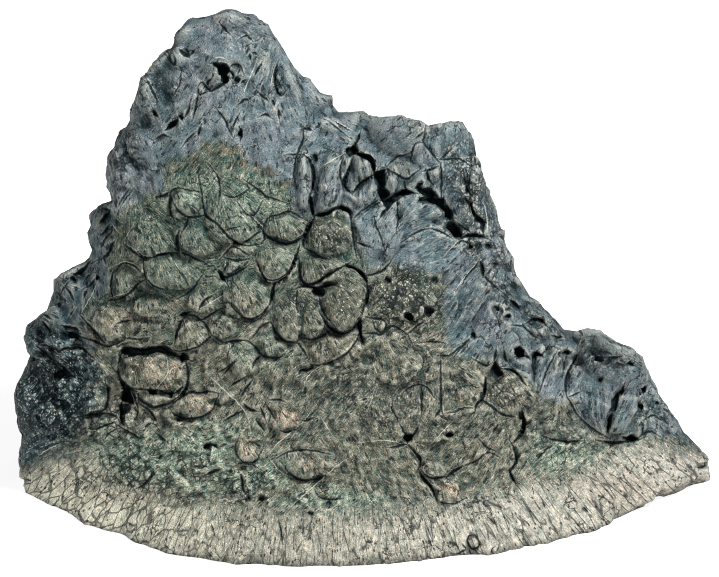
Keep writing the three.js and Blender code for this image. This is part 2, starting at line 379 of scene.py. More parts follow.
RIBS = rows_of("""
305,182 10 30 4 0.5  331,188 15 32 -8 0.65  347,168 7 18 8 0.3  363,168 12 17 0 0.6  366,196 17 15 35 0.4
391,184 10 18 -8 0.55  373,236 16 26 -18 0.45  390,236 12 24 -10 0.4  421,182 17 10 40 0.35
408,215 26 10 55 0.35  433,144 9 18 10 0.45  420,158 12 12 0 0.35  433,176 8 9 0 0.3  458,178 17 22 -8 0.35
473,178 9 26 -16 0.4  460,215 11 16 -35 0.4  432,215 13 10 0 0.25  600,392 36 42 8 0.75
622,412 12 22 -25 0.3  572,382 11 22 8 0.25  550,372 11 25 -18 0.45  521,366 12 17 10 0.4
540,362 8 16 0 0.3  655,400 14 24 25 0.35  637,425 10 12 -20 0.3  484,330 20 30 -38 0.3
470,300 12 34 -38 0.3  508,345 12 14 0 0.3  530,318 20 12 -40 0.35  222,76 14 13 0 0.3  150,98 12 24 18 0.5
185,60 14 12 0 0.4  188,38 14 12 0 0.45  260,76 9 24 -14 0.35  290,84 9 22 20 0.35  232,22 18 12 0 0.35
150,150 20 16 -40 0.4  130,170 14 22 20 0.35  105,225 12 16 0 0.45  76,290 16 18 30 0.5
62,322 20 14 -30 0.4  40,345 12 16 0 0.45  70,350 22 12 -35 0.4  35,395 16 24 30 0.45  75,385 14 18 -20 0.35
60,412 20 16 0 0.35  325,130 16 12 10 0.35  345,128 14 8 -30 0.3
""")
print("lobes:", len(LOBES), "ribs:", len(RIBS))

# %% [markdown]
# ## Growing a lobe
#
# The depth at which an egg sits is found by following the line of sight from
# the viewer to the metal. Only the small part of the grid round an egg is
# worked on, so a hundred of them take a few seconds.

# %% Grow the lobes of the face
LOBE_TILT = math.radians(16)
SUNK = 0.4
SIGHT_START = 14.0
SIGHT_LENGTH = 24.0
RIB_SHARE = 0.8
RIB_FILLET = 0.12
LOBE_SHARE = 0.72
LOBE_FILLET = 0.06


def turned_axes(roll, tilt):
    """Axes of a shape on the front: rolled in the sight plane, then with its top tipped back."""
    across = math.cos(roll) * ACROSS + math.sin(roll) * UP_IN_VIEW
    up = -math.sin(roll) * ACROSS + math.cos(roll) * UP_IN_VIEW
    return np.stack([
        across,
        math.cos(tilt) * up - math.sin(tilt) * TO_VIEWER,
        math.sin(tilt) * up + math.cos(tilt) * TO_VIEWER,
    ])


def first_metal(start, heading, travel):
    """Where a straight line that starts in the open first meets the metal."""
    places = start + np.arange(0, travel, STEP / 2)[:, None] * heading
    cells = np.clip(np.round((places - GRID_START) / STEP).astype(int), 0, np.array(field.shape) - 1)
    return places[np.argmax(field[cells[:, 0], cells[:, 1], cells[:, 2]] < 0)]


def grow(centre, axes, radii, fillet):
    """Melts an egg shape into the field, working only in the part of the grid around it."""
    reach = max(radii) + 0.3
    low = np.maximum(0, ((centre - reach - GRID_START) / STEP).astype(int))
    high = ((centre + reach - GRID_START) / STEP).astype(int) + 2
    view = tuple(slice(start, end) for start, end in zip(low, high))
    local = lattice_of(GRID_X[view[0]], GRID_Y[view[1]], GRID_Z[view[2]])
    across = (local - centre) @ axes.T / radii
    ring = np.linalg.norm(across, axis=-1) + TINY
    slope = np.linalg.norm(across / radii, axis=-1) + TINY
    field[view] = melt(field[view], (ring * (ring - 1) / slope).astype(np.float32), fillet)


def grow_on_front(pixel, half_width, half_height, proud, roll, tilt, fillet):
    across, up = across_up(pixel)
    sight_start = across * ACROSS + np.array([0, CREST_Y, 0]) + up * UP_IN_VIEW + SIGHT_START * TO_VIEWER
    surface = first_metal(sight_start, -TO_VIEWER, SIGHT_LENGTH)
    depth = proud / (1 - SUNK)
    spread = 1 / math.sqrt(1 - SUNK**2)
    radii = np.array([half_width * spread / PIXELS_PER_MM, half_height * spread / PIXELS_PER_MM, depth])
    grow(surface - SUNK * depth * TO_VIEWER, turned_axes(roll, tilt), radii, fillet)


for x, y, half_width, half_height, lean, proud in RIBS:
    grow_on_front((x, y), half_width, half_height, RIB_SHARE * proud, math.radians(lean), 0, RIB_FILLET)
for x, y, half_width, half_height, proud in LOBES:
    grow_on_front((x, y), half_width, half_height, LOBE_SHARE * proud, 0, LOBE_TILT, LOBE_FILLET)
print("metal share of the grid with lobes:", round(float((field < 0).mean()), 3))

# %% [markdown]
# ## The back and the sides
#
# The photo doesn't show the back. It is the same crust broken out of the same
# wall, so it gets knobs and ribs of the same sizes, scattered by chance with a
# fixed seed. They are aimed at the middle of the lump from all round, except
# from the front, where the photo says what there is.

# %% Grow knobs on the back and the sides
KNOB_SEED = 11
KNOB_COUNT = 260
KNOB_START = 30.0
KNOB_TRAVEL = 40.0
KNOB_SUNK = 0.55
KNOB_FILLET = 0.12
knob_chance = np.random.default_rng(KNOB_SEED)


def random_turn(chance):
    """Three axes at right angles, turned by chance."""
    axes, _ = np.linalg.qr(chance.normal(size=(3, 3)))
    return axes


for _ in range(KNOB_COUNT):
    heading_angle = math.radians(knob_chance.uniform(-12, 192))
    aim = np.array([knob_chance.uniform(-13, 13), CREST_Y, knob_chance.uniform(0.3, 21)])
    outward = np.array([math.cos(heading_angle), math.sin(heading_angle), knob_chance.uniform(-0.1, 0.6)])
    outward /= np.linalg.norm(outward)
    start = aim + KNOB_START * outward
    surface = first_metal(start, -outward, KNOB_TRAVEL)
    if np.linalg.norm(surface - start) < TINY:
        continue
    size = knob_chance.uniform(0.45, 1.2)
    radii = size * np.array([knob_chance.uniform(0.8, 1.6), 1.0, knob_chance.uniform(0.6, 1.0)])
    grow(surface - KNOB_SUNK * size * outward, random_turn(knob_chance), radii, KNOB_FILLET)
print("knobs on the back and sides:", KNOB_COUNT)

# %% [markdown]
# ## The outline against the background
#
# The lump's outline is ragged in its own way, so it is worth following. The
# points below are its turning points in the photo. Seen along the line of
# sight they make a cutter, like a pastry cutter with a soft edge, and the
# masses were made a little large so that it has something to cut.

# %% Cut the masses to the outline
OUTLINE = points_of("""
232,11 238,13 245,17 254,16 262,20 270,27 275,37 281,45 286,53 291,63 296,72 301,78 310,80 315,88 320,94
333,99 331,107 335,114 350,115 363,112 370,118 400,118 415,124 430,127 450,122 462,121 466,127 477,140
475,150 481,170 488,188 488,198 496,215 498,228 504,232 502,240 511,258 514,275 520,281 522,292 540,303
555,318 566,333 585,331 597,332 612,341 632,349 641,360 650,380 662,399 674,415 683,431 698,445 710,460
712,640 12,640 20,478 19,460 20,448 24,440 19,430 13,408 12,396 18,380 24,372 30,358 24,338 26,330 40,316
50,310 52,300 57,288 55,280 65,272 90,260 94,252 89,235 92,225 90,215 103,204 116,202 109,185 110,160
119,138 122,131 133,127 132,115 137,100 143,80 162,60 174,50 177,35 190,20 205,19 215,15
""")
OUTLINE_MM = across_up(OUTLINE)
OUTLINE_EDGE = 0.35

sight_ups = np.arange(-9, 24, STEP, dtype=np.float32)
sight_plane = lattice_of(GRID_X, sight_ups)
inside_outline = inward_distance(sight_plane, OUTLINE_MM).astype(np.float32)


def seen_from_front(plane, first_up, step):
    """Spreads a map of the sight plane through the grid along the line of sight."""
    place = np.clip((UP[0] - first_up) / step, 0, plane.shape[1] - 1.001)
    low = place.astype(np.int32)
    share = (place - low).astype(np.float32)
    return plane[:, low] * (1 - share) + plane[:, low + 1] * share


field = keep_within(field, -seen_from_front(inside_outline, sight_ups[0], STEP), OUTLINE_EDGE)
print("outline points:", len(OUTLINE))

# %% [markdown]
# ## A relief map of the front
#
# Gaps, cracks and holes are cut by a relief map: a fine picture in the sight
# plane that says how deep the front is cut at each place. It is finer than the
# grid, so thin gaps keep their course. The places that it is measured at are
# shaken a little by smooth random waves, so no gap has a clean edge.

# %% Lay out the relief map
MAP_STEP = STEP / 2
MAP_FIRST_UP = -5.2
MAP_LAST_UP = 21.2


def cells(places, size, seed):
    """Cells round scattered points: how far it is from a cell's middle and its edge, and its number."""
    dimensions = places.shape[-1]
    chance = np.random.default_rng(seed)
    jitter = chance.uniform(0.1, 0.9, (LATTICE,) * dimensions + (dimensions,)).astype(np.float32)
    number = chance.uniform(0, 1, (LATTICE,) * dimensions).astype(np.float32)
    low = np.floor(places / size).astype(np.int32)
    share = (places / size - low).astype(np.float32)
    nearest = np.full(places.shape[:-1], 9.0, dtype=np.float32)
    second = nearest.copy()
    mark = np.zeros_like(nearest)
    for corner in itertools.product((-1, 0, 1), repeat=dimensions):
        index = tuple((low[..., k] + step) % LATTICE for k, step in enumerate(corner))
        distance = np.linalg.norm(jitter[index] + np.array(corner, dtype=np.float32) - share, axis=-1)
        nearer = distance < nearest
        second = np.where(nearer, nearest, np.minimum(second, distance))
        mark = np.where(nearer, number[index], mark)
        nearest = np.minimum(nearest, distance)
    return nearest, second - nearest, mark


map_acrosses = GRID_X[0] + MAP_STEP * np.arange(2 * GRID_X.size - 1)
map_ups = np.arange(MAP_FIRST_UP, MAP_LAST_UP, MAP_STEP)
map_places = lattice_of(map_acrosses, map_ups)
ragged_places = shaken(shaken(map_places, 0.9, 0.07, 20), 0.22, 0.035, 30)
print("relief map:", map_places.shape[:2])

# %% [markdown]
# ## The gaps between the lobes
#
# Each gap is a short line of points read off the photo, with its width in
# pixels before them. A ring round each lobe would be quicker to write, but the
# gaps between real lobes open, close and run into each other, so they are
# listed one by one. These are the gaps of the upper lobes, the olive ones.

# %% List the gaps of the upper lobes
def lines_of(words):
    """Lines from a text: a plain number, such as a width, starts a line, and its points x,y follow."""
    lines = []
    for word in words.split():
        if "," in word:
            lines[-1][1].append(tuple(float(part) for part in word.split(",")))
        else:
            lines.append((float(word), []))
    return lines


UPPER_GAPS = lines_of("""
2 201,180 203,190 204,200 206,216 219,224 230,238 245,247 263,244
2 175,204 179,210 184,215 190,218 197,218 206,216
2 175,204 173,198 172,194 176,190 181,189
1 181,189 192,192 201,193
2.6 172,194 172,205 173,215 175,219
2.5 160,198 167,196 172,193
2 140,252 146,259 152,258 166,254 181,253
2.5 181,253 179,245 179,237 181,231
1.5 190,219 188,226 184,232
1.3 181,253 187,254 193,257 200,260 207,264
1.2 128,246 138,254 146,259
3 112,244 114,249 110,254 108,258
1.8 146,260 145,266 147,273 148,278 153,284 158,287 163,289
1.2 117,272 123,264 128,262 138,267 141,270
2 148,279 139,284 136,289 131,294 121,299 115,300
1 115,300 113,290 113,280 116,270
1.5 224,257 230,250 234,246 240,249 246,253
1.5 224,257 232,260 240,261 247,260
1.5 230,261 228,266 225,271
2.5 219,271 223,275 228,278 234,275 240,272 246,268
3.5 220,270 224,277 227,282
1 226,232 233,229 238,228
1.2 242,245 250,240 257,235 262,232
1.8 263,244 266,239 265,234 262,229 259,223 252,217
1.3 241,206 246,214 252,217 257,215 262,205
1 265,225 268,220 272,217 280,216 287,212 293,213 305,220
2.4 265,225 264,232 268,237 283,244 292,244 304,238 312,225 315,219
2.2 248,183 254,187 263,193 266,197 272,199 284,203
1 212,168 220,178 222,190 220,205
1 226,196 234,199 243,196 250,190
""")
print("gaps of the upper lobes:", len(UPPER_GAPS))

# %% [markdown]
# The large lobes in the middle hang over the deepest gaps. Their shadows are
# what gives the face its depth, so these lines are the widest ones.

# %% List the gaps of the middle lobes
MIDDLE_GAPS = lines_of("""
3.5 315,219 313,210 312,200 310,195
4.2 315,217 322,216 329,214 334,210 340,208 346,210 350,214 351,220
2 351,220 352,228 353,236 354,244 356,254
3 315,219 311,226 308,232 305,238 303,243 305,248
1.6 305,248 310,251 315,253 320,257 327,259
3 300,262 301,277 304,283 309,286 320,281 327,276 343,267 348,264
3 258,262 262,272 267,280 277,281 289,274 293,267 299,250 300,246
3 277,281 274,287 273,294 272,300 270,306
2.2 230,302 237,310 244,317 252,319 259,317 266,311 271,303
3 298,288 304,286 310,287 318,288 326,286 333,284 340,287
4 345,266 352,267 359,271 364,276 367,283
2.8 367,283 368,292 367,300 363,308 362,316
2 320,300 322,308 326,316 332,323
1.5 298,290 297,300 298,310
1 375,222 376,228 379,233 384,248
2 366,212 372,207 380,203
1.5 355,218 362,211
1.5 357,243 363,245 369,247
2 365,276 372,275 378,273 384,270 390,262
2 272,322 275,329 279,335 283,339 289,341 299,343
1.5 306,338 312,339 318,338 323,335 331,330
2.8 322,315 325,320 328,326 338,333 350,331 359,322 362,316
2 359,322 360,330 358,338 348,353 332,361 320,365 311,363
3 311,363 314,366 308,370 303,369 300,372
1.3 299,343 303,348 306,353
2.2 248,340 254,344 259,349 262,354 268,357 281,357 284,354
2 255,335 260,328 266,323 271,322
2 225,343 232,341 240,340 248,340
2 262,355 256,360 254,366
2.5 201,309 204,303 209,298 213,296
3 182,315 188,313 191,312
1.5 200,320 207,318 213,314 221,309
1.5 182,297 190,293 196,288 199,282 202,278
1.4 225,303 231,302 236,306 241,312 245,316
2.5 186,318 182,322 180,328 178,335 177,340
1.5 186,318 190,315 196,315 201,319 205,322 210,328 213,334
2.2 213,335 207,341 202,345 196,348 182,351 176,350
1.6 213,334 218,338 223,341 228,343
2 220,371 227,368 233,363 238,358
2 224,343 230,341 236,343 232,348
2 365,316 372,318 382,319 387,324 383,333 376,330 373,322
2 362,333 375,333 380,335 388,328 392,325 400,329 407,334 410,340
1.5 408,333 415,327 422,322
4 361,316 360,330 362,345
""")
print("gaps of the middle lobes:", len(MIDDLE_GAPS))

# %% [markdown]
# Low on the left a big knob stands out of the face, with a dark gap all round
# it. Further left the dark side is split into rough blocks.

# %% List the gaps round the big knob and the left side
KNOB_GAPS = lines_of("""
3.2 121,361 122,356 125,351 131,347 144,351 161,345 172,353 190,359
2.4 187,361 189,367 190,375 189,383 186,390 180,396 174,400
2.4 120,368 121,376 126,383 131,388 140,391
2 131,388 146,388 152,390 160,389 172,394 178,391 184,387
2.4 140,393 141,398 146,402 156,407 162,405 173,402 176,399
3 176,401 182,397 187,389 190,381
3.5 121,378 126,386 129,396
3 124,400 123,410 123,420 126,425
2.4 142,403 148,407 153,411 156,416 158,420
1.5 137,398 140,408 139,415
2 175,402 183,396 193,390 200,393 210,390 218,392
2.4 219,396 216,404 213,411 200,417 186,418 175,413 172,409
1.6 85,337 98,341 104,344 110,346 118,344 128,338
1.6 127,333 127,338 133,338 140,339 147,338
2 120,323 126,321 132,320
2.2 108,383 110,390 110,400 108,408 102,411 95,411
2.5 85,415 95,413 105,412 112,413 118,415 121,420
1.6 116,421 108,424 100,428 93,428
1.6 107,437 110,432 116,429
1.6 121,425 128,429 135,433 140,437 146,436
2.5 45,345 52,345 58,348 62,352 66,348 75,348 82,346 94,356
2.5 40,347 48,353 54,358 60,362 66,368 74,376 80,378
3 44,320 48,325 52,330 54,336
3.2 71,332 76,334 80,336 76,342
3 66,326 74,327 80,330
2 44,314 48,316 52,318
2 28,352 34,358 40,359
3 20,480 28,479 32,480
2 85,318 92,326 98,332 104,340
""")
print("gaps round the big knob and the left side:", len(KNOB_GAPS))

# %% [markdown]
# The lower face is gritty and has few lobes, so its gaps are short. The cracks
# that run down through the face and the skirt come from breaking, not from
# growing. They are deeper for their width, so they have a list of their own.

# %% List the gaps and cracks of the lower face
LOWER_GAPS = lines_of("""
1.6 158,432 163,436 168,440
3 205,446 210,443 214,443 219,447
2.4 225,420 231,416 237,413 243,410
2 225,373 230,368 235,362 238,360
1.6 232,385 238,381 245,377
2 243,395 247,387 252,381
2.5 245,403 249,407 253,409 258,410
2 273,399 279,398 284,400
2 262,408 266,418
2 268,405 274,415
2 258,420 264,428
1.6 280,429 286,431 292,430 298,427 303,421 309,416 313,412
2 305,420 312,417
2 272,437 276,433
2 362,399 367,398
1.6 421,342 432,341 440,342
2.2 440,355 450,355 455,350 462,345
1.8 440,362 440,380 440,410 445,417
2.5 440,408 435,415
1.2 445,412 455,411 460,407 470,407
1.5 422,384 428,388 432,394
1.6 405,390 410,386 416,384 422,384
2.4 421,385 421,400 421,410
1.6 392,404 392,410 395,414 397,418
2 475,360 480,363 485,366 492,362
2.8 500,368 508,369 514,371 519,377 525,385
4 484,378 484,390 482,398
2.4 482,392 480,398 490,405 496,410 502,414 513,416
2.5 482,398 476,402 474,410
1.5 480,440 485,446 492,449
2 496,425 492,431
1.6 544,436 552,439 560,440 578,440
1.6 535,459 542,452 547,445
2.5 600,440 612,442 624,441 634,440 642,437
2.5 207,474 212,471 218,469 222,468
2 158,470 150,478 145,484 138,487
1.6 236,464 242,461 250,462 258,466
1.4 283,462 292,474 302,479 315,478 326,474 335,466
1.4 282,454 292,449 310,448 328,452
1.4 240,436 236,445 238,455 246,462 258,460 262,450
1.6 316,490 320,496 328,498 340,497
1.8 240,470 244,478 243,488 248,494
""")
CRACKS = lines_of("""
2.4 474,533 468,533 466,539 468,544 472,547 477,545 479,541 474,533
1.8 493,545 491,546 490,550 493,552
1.2 497,545 496,549
2.2 466,547 461,549 456,552 452,551
1.6 455,541 458,546
1.4 462,542 465,547
1.6 468,546 470,553
1.2 462,548 464,555
1.2 473,547 478,552
1.8 582,506 584,508 586,510
1.8 570,527 573,531
1.2 488,516 495,523
2.4 697,467 702,467 706,464
1.6 280,520 282,530 283,540
1.6 213,523 215,530
2 400,424 403,430 407,436 407,443
2 418,425 415,431 411,436 408,438
1.8 390,446 396,446 402,443 407,443
2.4 408,443 413,449 418,455 420,457 420,463 418,468
2.6 418,468 421,474 426,480 430,485 433,492 437,500
1.2 437,500 445,502 455,502 462,498
1.2 418,466 425,462
1.3 420,468 425,474 432,477 440,475 446,476
2.4 446,476 450,472 456,468 461,465
1.6 461,465 470,462 478,458 484,452 490,451 495,454
3 521,412 523,420 523,428 518,436 512,442
2.6 510,442 513,448 515,455 515,462 511,467 508,470 514,482 518,487
""")
print("gaps of the lower face:", len(LOWER_GAPS), "cracks:", len(CRACKS))

# %% [markdown]
# ## The crevices of the grey metal
#
# At the top and along the right ridge the crust is broken across, and there
# the metal is grey. It is split into blades and plates, with black crevices
# between them that are wider than the gaps of the face.

# %% List the crevices of the shoulder
GREY_CREVICES = lines_of("""
3 303,156 309,159 312,165 314,178 313,190 311,196
2 304,130 304,143 299,152 296,163 294,178
1.6 301,156 296,156 290,156
2 303,131 308,130 312,132
3 360,135 358,141 355,147 352,151
4 353,155 364,156 371,158 373,165 374,175
4.5 374,175 380,174 385,171
2.8 353,158 350,167 347,176 342,184 346,190 352,195
2.2 344,158 341,166 340,175 342,184
2.8 374,176 367,180 360,184 356,190 352,195
2 360,213 368,208 375,203 380,200
4 380,201 386,203 392,199 397,195 403,192 414,194
2.5 385,205 388,209 383,213 380,218
1.8 397,205 397,215 398,222 396,230
2.5 416,188 422,184
4 417,189 424,192 431,193 432,199 426,201 420,201
3.5 430,200 440,201
2 457,224 462,228 466,230 470,233
3.5 458,240 466,236 472,235 480,236 486,239
2.5 463,175 464,183 466,190 469,195 473,199
4.5 465,200 469,207 473,214 477,219 481,222 482,234
2.2 425,129 424,138 422,143 426,149 430,153 434,158 438,163
1.2 415,140 420,136 424,133
1.1 422,144 416,144 412,150 411,158
2 425,172 430,171 436,168
2.5 426,172 428,180 431,184
2.2 386,170 392,173 400,178 407,181 412,176 416,173
2 404,182 404,188 406,192
1.2 386,168 392,162 398,157 404,157 412,153
1.4 441,159 446,155 450,151
1.8 430,229 437,231 444,234 450,238
1.5 405,240 412,235 420,231 428,229
1.6 330,124 338,130 345,136
1.6 336,123 344,129 351,132
1.4 440,161 450,160 460,160 465,164
1.6 440,165 441,180 440,195 442,204
2 455,245 462,240 470,246
""")
print("crevices of the shoulder:", len(GREY_CREVICES))

# %% [markdown]
# The right ridge is feathery, so its crevices are shorter and follow the way
# that its blades fan out.

# %% List the crevices of the right ridge
RIDGE_CREVICES = lines_of("""
2.2 463,281 468,273 473,268 478,262
4 479,261 481,268 482,276
2 481,275 487,280 493,286 500,291
1.6 484,295 489,290
1.6 497,320 499,327
4 509,300 514,304 518,308
2 495,350 494,357 492,361
1.6 503,350 504,358 507,362
2 456,352 462,345 468,339
1.5 512,325 520,325 527,330 531,335 535,337
3 527,322 533,319 540,319 545,325
2.5 551,335 556,337 562,337
2 547,347 543,352 539,356
3.2 536,351 532,356 531,363 533,372 533,379
3 533,352 537,353 542,356
2 515,356 521,355 526,356 531,360
1.6 555,352 551,359 547,366 543,376 540,386
2.2 566,354 563,362 562,370
2.6 578,352 574,360 568,368 565,376 564,385 565,395
1.5 565,395 568,400 572,408 577,416 590,428 605,436
1.6 568,396 573,394 577,392
4.5 622,385 621,390 619,395
4 610,413 608,421 607,431
2.5 604,357 612,357 619,356
2 642,425 641,433
4 622,436 630,438 637,437
1.8 636,438 642,433 650,430 656,434
2 632,416 636,410
1.3 645,418 652,414 658,418
2 700,463 706,463 712,465
""")
print("crevices of the right ridge:", len(RIDGE_CREVICES))

# %% [markdown]
# The peak and the dark left flank below it have the shortest crevices, many of
# them no more than slits.

# %% List the crevices of the peak and the left flank
PEAK_CREVICES = lines_of("""
4 112,212 108,216 104,221 102,223
2.5 105,209 108,210 112,211
2.6 105,234 108,230 111,226
3 116,242 114,245 113,249 112,252
2.4 107,262 106,257 110,256 112,252
3.4 99,275 100,278 98,280
2.6 97,279 94,283 91,286 89,287
2 89,290 87,293 86,297
2 92,275 90,276 88,279
5 74,274 78,274 83,272 88,267 92,262
5 73,276 75,279 77,280
3 76,287 79,288
3 61,287 61,292 63,297 67,300
2.6 66,287 70,290 73,294 75,299
3 60,304 63,303 61,307
2 75,311 73,314
3 74,327 78,328 80,330
1.8 130,192 127,196 124,200 122,204
1.6 132,194 128,199 125,204
2 222,27 226,32 230,36
2.6 244,40 248,38 253,43
2 214,66 224,66 230,68
2.4 230,76 228,84 222,88 216,92 212,94 206,87 203,84 200,89
2.2 200,89 200,97 205,96 210,94
1.8 213,81 209,85 210,88
2.2 200,97 198,106 197,112 195,120
1.8 192,106 190,113 187,119
3 181,117 184,122
3.5 168,132 172,129 177,126 177,121
2.5 200,137 201,132 203,128
1.2 196,135 190,141 186,146
1.6 219,112 224,118 228,124 230,131 233,136
2.2 240,107 244,103 247,101 250,103
1.1 240,117 237,123 235,128
2.2 260,95 264,99 268,102
2 273,102 276,108
1.3 279,112 280,120
2 262,118 267,116 271,119
3 241,130 243,132 242,142
3 278,68 275,80 277,92 282,99 286,94
1.6 231,70 236,66 242,68 244,74
2 243,85 247,82
2.5 251,57 252,62
2.2 254,55 258,57
2.2 262,67 260,70 257,76
3 156,112 158,116 160,119
2 150,84 154,92 158,100
2.4 171,57 173,64 176,68 178,64 176,58
4 182,53 186,57 191,60
2.4 192,58 196,53
1.6 183,78 182,86 179,92
2.2 160,139 165,136 170,138
2 114,232 108,238 104,246
2.4 96,262 88,266 80,272
2 70,283 64,290 62,298
""")
print("crevices of the peak and the left flank:", len(PEAK_CREVICES))

# %% [markdown]
# ## Cutting along the lines
#
# Corners are rounded by cutting them twice. A gap is cut as a narrow notch
# that gets shallower towards its ends, and the metal beside it is rounded down
# to it, which gives every lobe its swollen edge. The lobes lie like roof tiles,
# so the side below a gap is tucked deeper under the side above. Gaps thinner
# than the grid get only a groove here, and the finish draws them as hairlines.

# %% Cut the gaps and crevices into the map
WIDEST_DROP = 0.13
DROP_REACH = 0.08
MOUTH_LEAST = 0.02
MOUTH_SHARE = 0.34
CUT_FROM_WIDTH = 0.09
GROOVE_DEPTH = 0.05
GROOVE_REACH = 0.09
TUCK_REACH = 0.15
DEPTH_SCALES = {"gaps": 1.0, "cracks": 1.8, "crevices": 1.3}
gap_depth, shoulder_drop, gap_shadow = (np.zeros(map_places.shape[:2]) for _ in range(3))
gap_lines = []


def map_window(points, reach):
    """The part of the relief map that holds some points and a margin round them."""
    low = (points.min(axis=0) - reach - map_places[0, 0]) / MAP_STEP
    high = (points.max(axis=0) + reach - map_places[0, 0]) / MAP_STEP + 2
    return tuple(slice(max(0, int(start)), max(1, int(end))) for start, end in zip(low, high))


def deepen(plane, window, values):
    """Raises part of a map to the given values where they are higher."""
    plane[window] = np.maximum(plane[window], values)


def rounded_line(points):
    """A line with its corners cut twice and its ends kept."""
    for _ in range(2):
        near = points[:-1] * 0.75 + points[1:] * 0.25
        far = points[:-1] * 0.25 + points[1:] * 0.75
        cut = np.stack([near, far], axis=1).reshape(-1, 2)
        points = np.concatenate([points[:1], cut, points[-1:]])
    return points


def cut_gap(pixel_width, pixels, depth_scale):
    line = rounded_line(across_up(pixels))
    width = pixel_width / PIXELS_PER_MM
    gap_lines.append((line, width))
    reach = DROP_REACH + 2.2 * min(width, WIDEST_DROP)
    window = map_window(line, reach + 0.2)
    way, along, _ = nearest_on_line(ragged_places[window], line)
    distance = length_of(way)
    length = np.linalg.norm(np.diff(line, axis=0), axis=1).sum()
    taper = 0.3 + 0.7 * unit(4 * np.minimum(along, length - along) / length)
    half_mouth = MOUTH_LEAST + MOUTH_SHARE * width * taper
    open_share = unit((width - CUT_FROM_WIDTH) / 0.06)
    depth = (0.1 + 2.2 * width) * open_share * depth_scale * taper
    notch = depth * unit(1.2 * (1 - distance / half_mouth))
    groove = GROOVE_DEPTH * taper * unit(1 - distance / GROOVE_REACH)
    deepen(gap_depth, window, np.maximum(notch, groove))
    tucked_under = unit(0.5 - way[..., 1] / TUCK_REACH)
    drop = (0.02 + 1.2 * min(width, WIDEST_DROP)) * (0.4 + 1.1 * tucked_under) * taper
    deepen(shoulder_drop, window, drop * unit(1 - distance / reach) ** 2)
    # painted shade: the open middle of a wide gap is darkened by the finish
    shadow = unit(14 * width - 1.5) * unit(1.4 - 1.4 * distance / half_mouth)
    deepen(gap_shadow, window, shadow)


CUTS = {
    "gaps": UPPER_GAPS + MIDDLE_GAPS + KNOB_GAPS + LOWER_GAPS,
    "cracks": CRACKS,
    "crevices": GREY_CREVICES + RIDGE_CREVICES + PEAK_CREVICES,
}
for kind, cuts in CUTS.items():
    for width, pixels in cuts:
        cut_gap(width, pixels, DEPTH_SCALES[kind])
print("deepest gap in mm:", round(float(gap_depth.max()), 2))

# %% [markdown]
# ## Holes and hollows
#
# Some places are open wider than a gap: pores where a blade ended, and soft
# hollows at the left of the peak. Each is an oval: its place x,y, half width,
# half height and lean in the photo, and a depth in mm. Pores have steep walls,
# and hollows slope in gently.

# %% Cut the holes
PORES = rows_of("""
188,56 6 3 -40 0.6  148,125 5 8 -15 0.6  157,76 4 4 0 0.4  126,135 7 5 0 0.5  314,159 5 3 -20 0.5
396,206 2 3 0 0.4  434,197 4 5 0 0.8  484,202 3 3 0 0.6  434,130 4 2 -20 0.6  497,313 4 8 10 0.6
506,309 4 2 0 0.6  508,318 4 3 -20 0.7  472,337 3 3 0 0.5  517,352 5 3 -10 0.7  537,323 5 5 0 0.6
562,353 7 3 0 0.8  598,358 6 3 0 0.5  628,362 5 3 -30 0.4  636,390 3 4 0 0.6  643,387 3 3 0 0.5
637,407 3 4 20 0.5  614,402 3 11 -22 1  655,402 2 2 0 0.4  600,381 2 3 0 0.4  633,437 5 2 0 0.6
494,371 8 10 25 1  172,395 3 2 0 0.5  318,292 5 5 0 0.8  186,356 6 4 -15 0.9  448,432 4 2 35 0.6
408,437 3 3 0 0.7  408,315 4 3 0 0.5  430,313 4 5 0 0.5  387,279 3 4 0 0.4  434,281 5 3 0 0.3
110,388 2 4 0 0.5  210,445 4 3 0 0.4  262,497 4 3 0 0.35  247,497 3 4 0 0.35  76,335 5 4 0 0.6
244,466 4 3 0 0.35  328,502 4 3 0 0.3  310,514 4 2 0 0.3  365,357 7 5 0 0.35  480,400 3 4 0 0.6
519,414 2 3 0 0.6  64,372 6 3 40 0.5  522,306 4 2 40 0.5  485,247 4 3 0 0.5  468,247 4 3 30 0.5
493,262 4 3 0 0.4  503,285 4 2 0 0.4
""")
HOLLOWS = rows_of("""
168,95 9 15 0 0.7  188,38 9 6 0 0.3  120,165 8 16 0 0.35  267,388 11 9 0 0.3  295,388 7 8 0 0.25
447,392 8 4 0 0.3  85,250 5 10 0 0.4  70,372 12 8 0 0.35  405,183 4 5 0 0.3  520,300 10 6 -30 0.3
435,222 14 6 0 0.4  237,70 6 6 0 0.3  475,245 14 6 -10 0.4  60,285 5 8 0 0.4  590,352 14 5 0 0.3
375,352 12 8 0 0.25
""")

hollow_depth = np.zeros(map_places.shape[:2])
PORE_DEPTH_SHARE = 0.7
PORE_WALL = 2.6
HOLLOW_WALL = 1.0


def cut_hole(depth_map, wall, x, y, half_width, half_height, lean, depth):
    centre = across_up((x, y))
    half = np.array([half_width, half_height]) / PIXELS_PER_MM
    depth *= PORE_DEPTH_SHARE
    window = map_window(centre[None, :], half.max() + 0.3)
    turn = math.radians(lean)
    local = shaken(ragged_places[window], 0.35, 0.10, 95) - centre
    across = (local[..., 0] * math.cos(turn) + local[..., 1] * math.sin(turn)) / half[0]
    up = (-local[..., 0] * math.sin(turn) + local[..., 1] * math.cos(turn)) / half[1]
    ring = np.hypot(across, up)
    deepen(depth_map, window, depth * unit((1.1 - ring) * wall))
    # painted shade: the inside of a pore or hollow is darkened by the finish
    deepen(gap_shadow, window, min(0.6, 0.8 * depth) * unit((1.0 - ring) * wall))


for pore in PORES:
    cut_hole(gap_depth, PORE_WALL, *pore)
for hollow in HOLLOWS:
    cut_hole(hollow_depth, HOLLOW_WALL, *hollow)
print("pores:", len(PORES), "hollows:", len(HOLLOWS))
